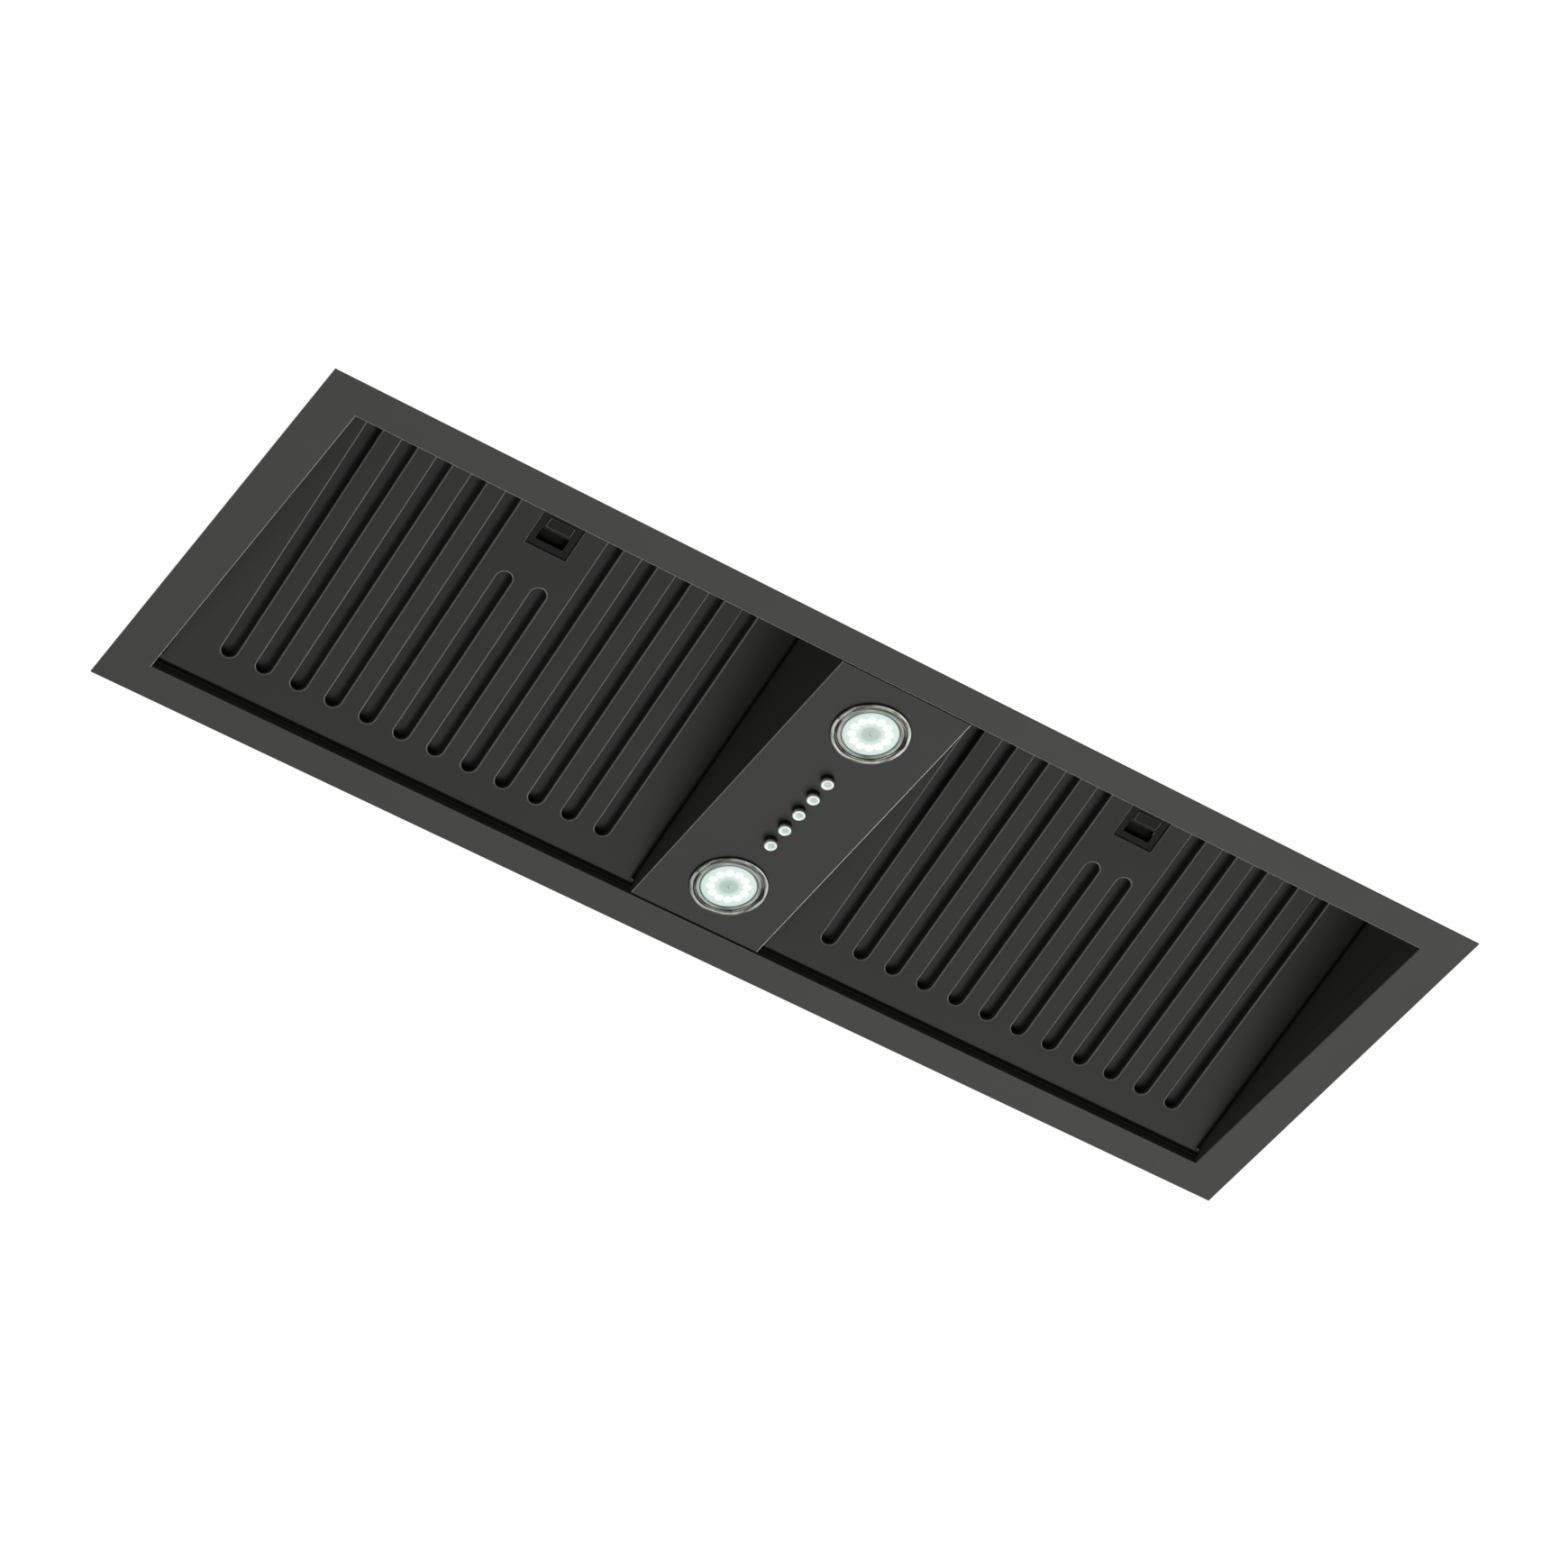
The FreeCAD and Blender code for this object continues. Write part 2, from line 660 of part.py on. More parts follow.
def make_lamps():
    """Two round LED lamps: trim ring, glass, LED board with chips, and finned heat sink."""
    low = f"({PANEL} - lamp_rim_height)"
    sleeve_top = f"({PANEL} + lamp_sleeve_height)"
    board_top = f"({sleeve_top} + led_board_sheet)"
    base_top = f"({board_top} + heatsink_base)"
    bore = "(lamp_sleeve_radius - lamp_wall)"
    board = even(BOARD)
    turns = [2 * math.pi * number / count("led_count") for number in range(count("led_count"))]
    chips = [rect(even("led_width", f"led_circle_radius*{math.cos(turn):.6f}"),
                  even("led_width", f"led_circle_radius*{math.sin(turn):.6f}")) for turn in turns]
    fins = count("heatsink_fins")
    fin_step = f"({BOARD} - heatsink_fin_sheet)/{fins - 1}"
    fin_places = [f"{number - (fins - 1)/2}*{fin_step}" for number in range(fins)]
    fin_rows = [rect(even("heatsink_fin_sheet", across), board) for across in fin_places]
    glass = (f"{low} + glass_recess", f"{low} + glass_recess + glass_thickness")
    steps = {
        "lamp_trims": [((low, PANEL), [circle("0", "0", "lamp_rim_radius"), circle("0", "0", bore)]),
                       ((PANEL, sleeve_top), [circle("0", "0", "lamp_sleeve_radius"), circle("0", "0", bore)])],
        "lamp_glasses": [(glass, [circle("0", "0", bore)])],
        "led_boards": [((sleeve_top, board_top), [rect(board, board)])],
        "led_chips": [((f"{sleeve_top} - led_height", sleeve_top), chips)],
        "lamp_heatsinks": [((board_top, base_top), [rect(board, board)]),
                           ((base_top, f"{board_top} + heatsink_height"), fin_rows)],
    }
    for label, pads in steps.items():
        pair = []
        for name, way in (("front", -1), ("rear", 1)):
            body = new_body(f"{name}_{label}")
            body.AllowCompound = True
            for span, loops in pads:
                extrude(body, "Pad", "z", span, loops)
            pair.append(place(body, y=f"{way}*lamp_spacing/2"))
        group(label, pair)


def make_lamp_clips():
    """Spring clips that hold the lamps' sleeves to the panel, as one group."""
    clips = loose("lamp_clips")
    sleeve = "lamp_sleeve_radius"
    foot = f"{PANEL_BACK} + clip_sheet"
    crown = f"({PANEL_BACK} + clip_height)"
    for way in (-1, 1):
        span = even("clip_width", f"{way}*lamp_spacing/2")
        for sign in SIDES.values():
            outline = [(sleeve, foot), (sleeve, crown), (f"{sleeve} + 2*clip_sheet", crown),
                       (f"{sleeve} + clip_reach + clip_sheet", PANEL_BACK), (f"{sleeve} + clip_reach", PANEL_BACK),
                       (f"{sleeve} + clip_sheet", f"{crown} - clip_sheet"), (f"{sleeve} + clip_sheet", foot)]
            extrude(clips, "Pad", "y", span, [mirror(outline, sign)])


def make_buttons():
    """Push buttons with a square retaining plate behind the panel and a square stem into the switch block."""
    tip = f"{PANEL} - button_reach"
    plate_top = f"({PANEL_BACK} + button_plate_height)"
    plate = even("2*button_radius + 2*button_plate_lap")
    stem = even("stem_width")
    for number, y in enumerate(button_places(), start=1):
        body = solid(f"button_{number}", "z", (tip, PANEL_BACK), circle("0", "0", "button_radius"))
        add(body, "z", (PANEL_BACK, plate_top), rect(plate, plate))
        add(body, "z", (plate_top, f"{plate_top} + stem_length"), rect(stem, stem))
        place(body, y=y)


def make_switch_block():
    bottom = f"({PANEL_BACK} + button_plate_height + button_travel + switch_gap)"
    top = f"({bottom} + switch_height)"
    half = "(button_count*button_pitch/2 + switch_foot)"
    body = solid("switch_block", "z", (bottom, top), rect(even("switch_width"), (f"-{half}", half)))
    feet = [rect(even("switch_width"), flip((f"{half} - switch_foot", half), sign)) for sign in SIDES.values()]
    add(body, "z", (PANEL_BACK, bottom), *feet)
    depth = f"{PANEL_BACK} + button_plate_height + stem_length + button_travel + switch_gap"
    bore = "stem_width + 2*stem_gap"
    cut(body, "z", (bottom, depth), *[rect(even(bore), even(bore, y)) for y in button_places()])


# Filter cells: rails on the casing, then the filter and its latch


def make_rails(side, sign):
    """The rear J-rail that the filter hangs in, the seal it closes against, and the leaf that keeps its latch."""
    ends = (f"{sign}*{CELL_X} - {FILTER_X}", f"{sign}*{CELL_X} + {FILTER_X}")
    centre = (HINGE_Y, "hinge_height")

    def round_hinge(radius, angle):
        return (f"{HINGE_Y} + {radius}*cos({angle})", f"hinge_height + {radius}*sin({angle})")

    leg = "hinge_height + rail_leg"
    solid(f"{side}_hinge_rail", "x", ends, [
        (f"{HINGE_Y} + {RAIL_OUTER}", leg), (f"{HINGE_Y} + {RAIL_INNER}", leg),
        arc_to((f"{HINGE_Y} + {RAIL_INNER}", "hinge_height"), centre, -1),
        round_hinge(RAIL_INNER, "-rail_wrap"),
        arc_to(round_hinge(RAIL_OUTER, "-rail_wrap"), centre, 1),
        (f"{HINGE_Y} + {RAIL_OUTER}", "hinge_height")])
    start = on_slope(f"{LENGTH} - seal_front_gap - seal_width", "filter_depth + seal_gap")
    end = on_slope(f"{LENGTH} - seal_front_gap", "filter_depth + seal_gap")
    solid(f"{side}_front_seal", "x", ends, [start, (start[0], UNDER_TOP), (end[0], UNDER_TOP), end])
    tip, crest = on_slope(f"{LENGTH} + keeper_setback", FACE_BACK)
    low = f"({crest} - keeper_sheet)"
    foot = f"({low} - keeper_leg)"
    solid(f"{side}_keeper_leaf", "x", even("keeper_width", f"{sign}*{CELL_X}"), [
        (tip, crest), (tip, low), (f"{front_inner(low)} + keeper_sheet", low),
        (f"{front_inner(foot)} + keeper_sheet", foot), (front_inner(foot), foot), (front_inner(crest), crest)])


def slot_rows():
    """Each slot's place across the filter, and where it ends: the middle pair stops short of the latch."""
    pieces = count("slot_count")
    rows = []
    for number in range(pieces):
        step = number - (pieces - 1) / 2
        rows.append((f"{step}*slot_pitch", SHORT_SLOT_END if abs(step) < 1 else SLOT_END))
    return rows


def obround(across, start, end, radius):
    """A slot along the filter: round at its start, square at its end behind the front of the flange."""
    low = f"-({end})"
    high = f"-({start}) - {radius}"
    right = f"{across} + {radius}"
    left = f"{across} - {radius}"
    return [(right, low), arc_to((right, high), (across, high), 1), (left, high), (left, low)]


def make_filter_face(side, sign):
    """The pressed face: plate, rolled hinge bead, rim, and slots with lips turned inwards."""
    body = solid(f"{side}_filter_face", "z", (f"-{FACE_BACK}", FACE_BACK),
                 rect((f"-{FILTER_X}", FILTER_X), (f"-{LENGTH}", "0")))
    add(body, "x", (f"-{FILTER_X}", FILTER_X), circle("0", "0", "bead_radius"))
    inner = f"({FILTER_X} - filter_sheet)"
    add(body, "z", ("0", "filter_depth - baffle_sheet"),
        rect((f"-{FILTER_X}", FILTER_X), (f"-{LENGTH}", "-rim_setback")),
        rect((f"-{inner}", inner), (f"-{TRAY_END}", "-rim_setback - filter_sheet")))
    lips = [rect(even("2*slot_radius + 2*slot_lip", x), (f"-{end}", "-slot_start")) for x, end in slot_rows()]
    add(body, "z", ("0", "slot_lip_height"), *lips)
    holes = [obround(x, "slot_start + slot_lip", f"{end} - slot_lip", "slot_radius") for x, end in slot_rows()]
    window = rect(even("window_width"), (f"-{WINDOW_END}", f"-{WINDOW_START}"))
    cut(body, "z", (f"-{FACE_BACK}", "slot_lip_height"), *holes, window)
    notch = rect(even("bolt_width + 2*bolt_gap"), (f"-{LENGTH}", f"-{TRAY_END}"))
    cut(body, "z", (FACE_BACK, f"{SLIDE_HIGH} + bolt_gap"), notch)
    in_cell(body, sign)


def make_baffles(side, sign):
    """Channels behind the slots, open towards them, that turn the air and catch the grease."""
    body = loose(f"{side}_rear_baffles")
    web_high = "(filter_depth - baffle_sheet)"
    web_low = f"({web_high} - baffle_sheet)"
    rear = "-rim_setback - filter_sheet"
    for short in (False, True):
        front = f"-{TRAY_START}" if short else f"-{TRAY_END}"
        channels = []
        for x, end in slot_rows():
            if (end == SHORT_SLOT_END) == short:
                wide = "baffle_width/2"
                thin = f"({wide} - baffle_sheet)"
                foot = f"{web_low} - baffle_leg"
                channels.append([
                    (f"{x} - {wide}", foot), (f"{x} - {thin}", foot), (f"{x} - {thin}", web_low),
                    (f"{x} + {thin}", web_low), (f"{x} + {thin}", foot), (f"{x} + {wide}", foot),
                    (f"{x} + {wide}", web_high), (f"{x} - {wide}", web_high)])
        extrude(body, "Pad", "y", (front, rear), channels)
    in_cell(body, sign)


def make_filter_back(side, sign):
    """The open back frame that clamps the baffles to the rim."""
    inner = f"({FILTER_X} - back_border)"
    body = solid(f"{side}_filter_back", "z", ("filter_depth - baffle_sheet", "filter_depth"),
                 rect((f"-{FILTER_X}", FILTER_X), (f"-{LENGTH}", "-rim_setback")),
                 rect((f"-{inner}", inner), (f"back_border - {LENGTH}", "-rim_setback - back_border")))
    in_cell(body, sign)


def make_latch(side, sign):
    """A sprung slide behind a window in the filter, in a closed tray with two guide ledges."""
    half = "tray_width/2"
    thin = "(tray_width/2 - tray_sheet)"
    inside = (f"tray_sheet - {TRAY_END}", f"-{TRAY_START} - tray_sheet")
    tray = solid(f"{side}_latch_tray", "z", (FACE_BACK, TRAY_TOP),
                 rect((f"-{half}", half), (f"-{TRAY_END}", f"-{TRAY_START}")))
    cut(tray, "z", (FACE_BACK, TRAY_ROOF), rect((f"-{thin}", thin), inside))
    ledges = [rect(flip(("slide_width/2 - slide_ledge", "slide_width/2"), way), inside) for way in SIDES.values()]
    add(tray, "z", (f"{SLIDE_HIGH} + slide_gap", TRAY_ROOF), *ledges)
    notch = rect(even("bolt_width + 2*bolt_gap"), (f"-{TRAY_END}", f"tray_sheet - {TRAY_END}"))
    cut(tray, "z", (FACE_BACK, f"{SLIDE_HIGH} + bolt_gap"), notch)

    front = f"(tray_sheet + bolt_gap - {TRAY_END})"
    wide = "slide_width/2 - slide_gap"
    bolt = "bolt_width/2"
    bolt_end = f"-{LENGTH} - bolt_reach"
    plate = [(wide, front), (wide, f"-{SLIDE_START}"), (f"-({wide})", f"-{SLIDE_START}"), (f"-({wide})", front),
             (f"-{bolt}", front), (f"-{bolt}", bolt_end), (bolt, bolt_end), (bolt, front)]
    finger = rect(even("finger_width"), (f"-{FINGER_START} - finger_length", f"-{FINGER_START}"))
    slide = solid(f"{side}_latch_slide", "z", (SLIDE_LOW, SLIDE_HIGH), plate, finger)
    add(slide, "z", (f"{SLIDE_LOW} - tab_height", SLIDE_LOW),
        rect(even("tab_width"), (f"-{TAB_START} - tab_length", f"-{TAB_START}")))
    lug_outer = "(slide_width/2 - slide_ledge - slide_gap)"
    lugs = [rect(flip((f"{lug_outer} - lug_width", lug_outer), way), (f"-{LUG_START} - lug_sheet", f"-{LUG_START}"))
            for way in SIDES.values()]
    add(slide, "z", (SLIDE_HIGH, LUG_TOP), *lugs)

    spring = loose(f"{side}_latch_spring")
    fixed = f"({TRAY_START} + tray_sheet)"
    step = f"({LUG_START} - {fixed})/4"
    floor = f"({SLIDE_HIGH} + slide_gap)"
    crest = f"({LUG_TOP} - spring_sheet)"
    fold = [(f"-{fixed} - {number}*{step}", crest if number % 2 else floor) for number in range(5)]
    zigzag = fold + [(along, f"{up} + spring_sheet") for along, up in reversed(fold)]
    for way in SIDES.values():
        extrude(spring, "Pad", "x", flip((f"{lug_outer} - lug_width", lug_outer), way), [zigzag])
    for piece in (tray, slide, spring):
        in_cell(piece, sign)


# Blower: scroll, wheel and motor


def scroll_path(grow):
    """The scroll's spiral of three quarter arcs about the wheel, from mouth to mouth, grown outwards."""
    step = "scroll_step/2"
    first = f"({SPIRAL} + {grow})"
    second = f"({SPIRAL} + scroll_step + {grow})"
    third = f"({SPIRAL} + 2*scroll_step + {grow})"
    return [
        (f"{MOUTH_LEFT} - {grow}", MOUTH),
        arc_to((f"{MOUTH_LEFT} - {grow}", step), (f"-{step}", step), 1),
        arc_to((f"-{step}", f"{step} - {third}"), (f"-{step}", f"-{step}"), 1),
        arc_to((f"{second} - {step}", f"-{step}"), (step, f"-{step}"), 1),
        (f"{step} + {grow}", f"sqrt({first}^2 - ({grow})^2) - {step}"),
        (f"{step} + {grow}", MOUTH)]


def back_along(path):
    """The same path walked the other way, its arcs turned round."""
    walked = []
    for index in range(len(path) - 1, -1, -1):
        before = path[index - 1]
        if index and len(before) > 2:
            walked.append(arc_to(path[index][:2], before[2], -before[3]))
        else:
            walked.append(path[index][:2])
    return walked


def make_scroll():
    outer = scroll_path("scroll_sheet")
    wrap = solid("scroll_wrap", "z", ("0", "scroll_height"), outer + back_along(scroll_path("0")))
    cover = solid("scroll_cover", "z", ("scroll_height", "scroll_height + scroll_sheet"), outer)
    for piece in (wrap, cover):
        place(piece, "blower_x", BLOWER_Y, TOP, MOUTH_RIGHT)


def make_wheel():
    """The squirrel-cage wheel: blades leaning forwards between a disc with its hub and a ring."""
    body = solid("impeller", "z", (DISC_LOW, WHEEL_HIGH), circle("0", "0", "wheel_radius"))
    add(body, "z", (HUB_LOW, DISC_LOW), circle("0", "0", "hub_radius"), circle("0", "0", "shaft_radius"))
    add(body, "z", ("wheel_low", "wheel_low + wheel_ring_height"),
        circle("0", "0", "wheel_radius"), circle("0", "0", "wheel_radius - wheel_ring_width"))
    tip = "(wheel_radius - blade_inset)"
    spine = [(f"{tip} - blade_depth", "0"), (f"{tip}*cos(blade_lean)", f"{tip}*sin(blade_lean)")]
    outline = [(across, f"{up} - blade_sheet/2") for across, up in spine]
    outline += [(across, f"{up} + blade_sheet/2") for across, up in reversed(spine)]
    blade = extrude(body, "Pad", "z", ("wheel_low + wheel_ring_height", DISC_LOW), [outline])
    repeat_round(body, [blade], "blade_count")
    shaft = solid("motor_shaft", "z", (MOTOR_TOP, DISC_LOW), circle("0", "0", "shaft_radius"))
    for piece in (body, shaft):
        place(piece, "blower_x", BLOWER_Y, TOP)


def make_motor():
    """The motor in the wheel's inlet, and the arms that carry it across the hole in the top plate."""
    motor = solid("motor", "z", (f"{MOTOR_TOP} - motor_length", MOTOR_TOP), circle("0", "0", "motor_radius"))
    half = "bracket_arm_width/2"
    near = f"sqrt(motor_radius^2 - ({half})^2)"
    far = "inlet_radius + bracket_arm_lap"
    bracket = loose("motor_bracket")
    arm = extrude(bracket, "Pad", "z", ("0", "bracket_sheet"), [
        [(far, f"-{half}"), (far, half), arc_to((near, half), ("0", "0"), -1), (near, f"-{half}")]])
    repeat_round(bracket, [arm], "bracket_arms")
    for piece in (motor, bracket):
        place(piece, "blower_x", BLOWER_Y, TOP)


def make_outlet_box():
    """The box that turns the air from the scroll's mouth up to the duct."""
    across = (OUTLET_START, f"{OUTLET_START} + {OUTLET_LENGTH}")
    inside = (f"{OUTLET_START} + casing_sheet", f"{OUTLET_START} + {OUTLET_LENGTH} - casing_sheet")
    body = solid("outlet_box", "z", (TOP, BOX_TOP), rect(across, even(DUCT_PLATE, OUTLET_Y)))
    cut(body, "z", (TOP, CEILING), rect(inside, even(f"{DUCT_PLATE} - 2*casing_sheet", OUTLET_Y)))
    hole = f"{DUCT_PLATE} - 2*outlet_rim"
    cut(body, "z", (CEILING, BOX_TOP), rect(even(hole, OUTLET_X), even(hole, OUTLET_Y)))
    mouth = (f"{BLOWER_Y} - scroll_step/2", f"{BLOWER_Y} - {MOUTH_LEFT}")
    cut(body, "x", (OUTLET_START, f"{OUTLET_START} + casing_sheet"), rect(mouth, (TOP, CEILING)))


# Duct collar with its damper flaps


def make_duct_collar():
    """The round spigot on its square plate, with four lugs that the closed flaps rest on."""
    inside = "(duct_radius - duct_sheet)"
    body = solid("duct_collar", "z", (BOX_TOP, f"{BOX_TOP} + casing_sheet"),
                 rect(even(DUCT_PLATE), even(DUCT_PLATE)), circle("0", "0", inside))
    add(body, "z", (BOX_TOP, f"{BOX_TOP} + duct_height"), circle("0", "0", "duct_radius"), circle("0", "0", inside))
    far = "(duct_radius - duct_sheet/4)/sqrt(2)"
    lug = (f"{far} - stop_lug_width", far)
    lugs = [rect(flip(lug, across), flip(lug, along)) for across in SIDES.values() for along in SIDES.values()]
    add(body, "z", (LUG_LOW, f"{LUG_LOW} + casing_sheet"), *lugs)
    place(body, OUTLET_X, OUTLET_Y)
    reach = f"({inside} - pin_end_gap)"
    pin = solid("damper_pin", "x", (f"-{reach}", reach), circle("0", "0", "pin_radius"))
    place(pin, OUTLET_X, OUTLET_Y, PIN_Z)


def make_flap(label, sign):
    """A half-round damper flap whose barrel takes one half of the common pin."""
    radius = "(duct_radius - duct_sheet - flap_gap)"
    chord = f"{sign}*flap_chord"
    end = f"sqrt({radius}^2 - flap_chord^2)"
    top = "-(pin_radius + pin_gap + barrel_sheet/2)"
    bottom = f"({top} - flap_sheet)"
    right = (end, chord)
    left = (f"-{end}", chord)
    outline = [arc_to(right, ("0", "0"), 1), left] if sign > 0 else [arc_to(left, ("0", "0"), 1), right]
    body = solid(label, "z", (bottom, top), outline)
    span = flip(("barrel_spacing/2", "barrel_spacing/2 + barrel_length"), sign)
    add(body, "z", (bottom, top), rect(span, flip(("0", "2*flap_chord"), sign)))
    add(body, "x", span, circle("0", "0", "pin_radius + pin_gap + barrel_sheet"),
        circle("0", "0", "pin_radius + pin_gap"))
    place(body, OUTLET_X, OUTLET_Y, PIN_Z)


# Wiring box


def make_wiring_box():
    """The wiring box on the top plate: terminal block, circuit board, lid, and gland for the mains cable."""
    floor = f"({TOP} + wiring_wall)"
    roof = f"({TOP} + wiring_height)"
    middle = f"({TOP} + wiring_height/2)"
    left = "(wiring_x - wiring_length/2)"
    across = even("wiring_length", "wiring_x")
    along = even("wiring_depth", WIRING_Y)
    body = solid("wiring_box", "z", (TOP, roof), rect(across, along))
    cut(body, "z", (floor, roof), rect(even("wiring_length - 2*wiring_wall", "wiring_x"),
                                       even("wiring_depth - 2*wiring_wall", WIRING_Y)))
    cut(body, "x", (left, f"{left} + wiring_wall"), circle(WIRING_Y, middle, "gland_bore_radius"))
    solid("wiring_box_lid", "z", (roof, f"{roof} + wiring_wall"), rect(across, along))
    solid("terminal_block", "z", (floor, f"{floor} + terminal_height"),
          rect(even("terminal_length", "wiring_x"), even("terminal_depth", f"{WIRING_Y} + wiring_depth/4")))
    board_y = f"{WIRING_Y} - wiring_depth/5"
    board_low = f"({floor} + board_post)"
    board = solid("circuit_board", "z", (board_low, f"{board_low} + board_sheet"),
                  rect(even("board_length", "wiring_x"), even("board_depth", board_y)))
    posts = [rect(even("board_post", f"wiring_x + {way}*(board_length - board_post)/2"),
                  even("board_post", f"{board_y} + {side}*(board_depth - board_post)/2"))
             for way in SIDES.values() for side in SIDES.values()]
    add(board, "z", (floor, board_low), *posts)
    gland = solid("cable_gland", "x", (f"{left} - gland_nut_length", left),
                  hexagon("gland_nut_width"), circle("0", "0", "gland_bore_radius"))
    place(gland, y=WIRING_Y, z=middle)


make_flange_frame()
make_front_wall()
make_rear_wall()
make_end_wall("left_end_wall", -1)
make_end_wall("right_end_wall", 1)
make_top_plate()
make_control_panel()
make_lamps()
make_lamp_clips()
make_buttons()
make_switch_block()
for side_name, side_sign in SIDES.items():
    make_rails(side_name, side_sign)
    make_filter_face(side_name, side_sign)
    make_baffles(side_name, side_sign)
    make_filter_back(side_name, side_sign)
    make_latch(side_name, side_sign)
make_scroll()
make_wheel()
make_motor()
make_outlet_box()
make_duct_collar()
make_flap("front_flap", -1)
make_flap("rear_flap", 1)
make_wiring_box()
make_screws()
doc.recompute()

failed = [each.Label for each in doc.Objects if "Invalid" in each.State or "Error" in each.State]
failed += [each.Label for each in nodes if each.Shape.isNull() or not each.Shape.isValid()]
if failed:
    raise RuntimeError(f"these objects failed: {failed}")
os.makedirs("parts", exist_ok=True)
for each in nodes:
    each.Shape.exportStep(f"parts/{each.Label}.step")
print(f"{len(nodes)} sub-parts written")
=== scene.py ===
import math

import bmesh
import bpy
from mathutils import Matrix, Vector


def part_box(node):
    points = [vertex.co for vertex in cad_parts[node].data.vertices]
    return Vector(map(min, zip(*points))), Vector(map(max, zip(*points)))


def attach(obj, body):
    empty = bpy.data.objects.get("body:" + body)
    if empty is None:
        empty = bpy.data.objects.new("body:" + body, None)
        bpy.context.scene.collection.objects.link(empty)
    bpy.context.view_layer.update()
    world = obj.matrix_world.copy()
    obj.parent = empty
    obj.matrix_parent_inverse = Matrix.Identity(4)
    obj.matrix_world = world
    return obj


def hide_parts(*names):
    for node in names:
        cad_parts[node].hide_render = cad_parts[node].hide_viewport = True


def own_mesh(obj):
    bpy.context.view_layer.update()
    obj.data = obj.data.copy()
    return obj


# Undermount range hood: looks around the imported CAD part.
# Lengths are in millimetres, in the CAD frame, and become metres when a mesh is made.
# The stage, the lights and the camera are in metres.

MM = 0.001
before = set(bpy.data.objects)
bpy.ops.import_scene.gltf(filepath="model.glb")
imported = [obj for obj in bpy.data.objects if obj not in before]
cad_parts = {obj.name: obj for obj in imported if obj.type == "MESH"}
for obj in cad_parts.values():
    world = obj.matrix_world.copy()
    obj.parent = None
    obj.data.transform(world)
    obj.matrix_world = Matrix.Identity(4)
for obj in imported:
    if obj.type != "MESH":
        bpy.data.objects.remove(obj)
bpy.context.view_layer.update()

# Filters, measured in their own plane: x across, y towards the rear hinge, z up into the casing
CELL_X = 224.75
HINGE_Y = 118.9
HINGE_Z = 5.5
FILTER_TILT = 16.2
FILTER_HALF = 175.0
FILTER_LENGTH = 212.0
FACE_LOW = -0.5
FACE_SHEET = 0.9
RIM_TOP = 7.2
RIM_START = 4.0
RIM_BEND = 4.0
RIM_CORNER = 4.6
RIM_TOP_CORNER = 0.6
BEAD_RADIUS = 1.5
BEAD_SOFT = 0.4
SLOT_COUNT = 12
SLOT_PITCH = 25.0
SLOT_HALF = 5.4
SLOT_START = 21.2
SLOT_END = 206.5
SHORT_SLOT_END = 154.4
LIP_BEND = 1.2
LIP_TOP = 3.5
WINDOW_HALF = 15.0
WINDOW_START = 177.8
WINDOW_END = 205.0
WINDOW_CORNER = 0.8
WINDOW_BEND = 0.5
WINDOW_TOP = 0.4

# Latch slide behind the window, with its bolt, finger hole, tab, lugs and springs
SLIDE_HALF = 16.7
SLIDE_START = 175.5
SLIDE_END = 209.5
SLIDE_LOW = 0.8
SLIDE_HIGH = 2.3
SLIDE_BEVEL = 0.25
BOLT_HALF = 9.0
BOLT_END = 218.0
BOLT_TOP = 2.6
BOLT_GAP = 0.5
FINGER_HALF = 10.0
FINGER_START = 182.7
FINGER_END = 191.1
FINGER_CORNER = 0.6
TAB_HALF = 9.0
TAB_START = 192.8
TAB_END = 199.8
TAB_LOW = -0.2
TAB_CORNER = 0.9
TAB_BEVEL = 0.4
LUG_X = (11.1, 14.7)
LUG_Y = (-198.0, -196.0)
LUG_TOP = 4.9
LUG_CORNER = 0.4
LUG_BEVEL = 0.2
ROOT = 0.5  # how far the tab and the lugs reach into the slide's sheet
SPRING_START = 167.0
SPRING_END = 195.9
SPRING_FOLDS = 4
SPRING_SHEET = 0.5
SPRING_LOW = 2.6

# Control panel. Outlines are (radius, height) about the piece's own axis.
LAMP_Y = 80.0
PANEL_LOW = -0.4
LAMP_LOW = -2.2
BEZEL_OUTLINE = (
    (25.5, PANEL_LOW), (25.5, -1.7), (25.4, -1.95), (25.2, -2.13), (24.9, LAMP_LOW),
    (23.3, LAMP_LOW), (22.9, -2.1), (22.7, -1.7), (22.6, -1.3), (22.3, -1.3), (22.2, -1.8),
    (22.0, -2.0), (21.7, -2.0), (21.5, -1.8), (21.4, -1.4), (21.4, 6.6), (22.7, 6.6),
    (22.7, PANEL_LOW))
GLASS_RADIUS = 21.35
GLASS_OUTLINE = (
    (0, -1.6), (9, -1.57), (16, -1.5), (18.0, -1.4), (18.2, -1.2), (18.8, -1.2), (19.0, -1.5),
    (19.5, -1.72), (20.1, -1.8), (20.7, -1.65), (21.2, -1.25), (GLASS_RADIUS, -0.9),
    (GLASS_RADIUS, 0.2), (0, 0.2))
LENS_COUNT = 12
LENS_CIRCLE = 11.7
LENS_TIP = -1.78
LENS_FOOT = -1.5  # where the lens leaves the glass
LENS_OUTLINE = ((0, LENS_TIP), (0.8, -1.74), (1.3, -1.64), (1.6, -1.4), (0, -1.4))
BUTTON_COUNT = 5
BUTTON_PITCH = 16.0
BUTTON_RADIUS = 4.25
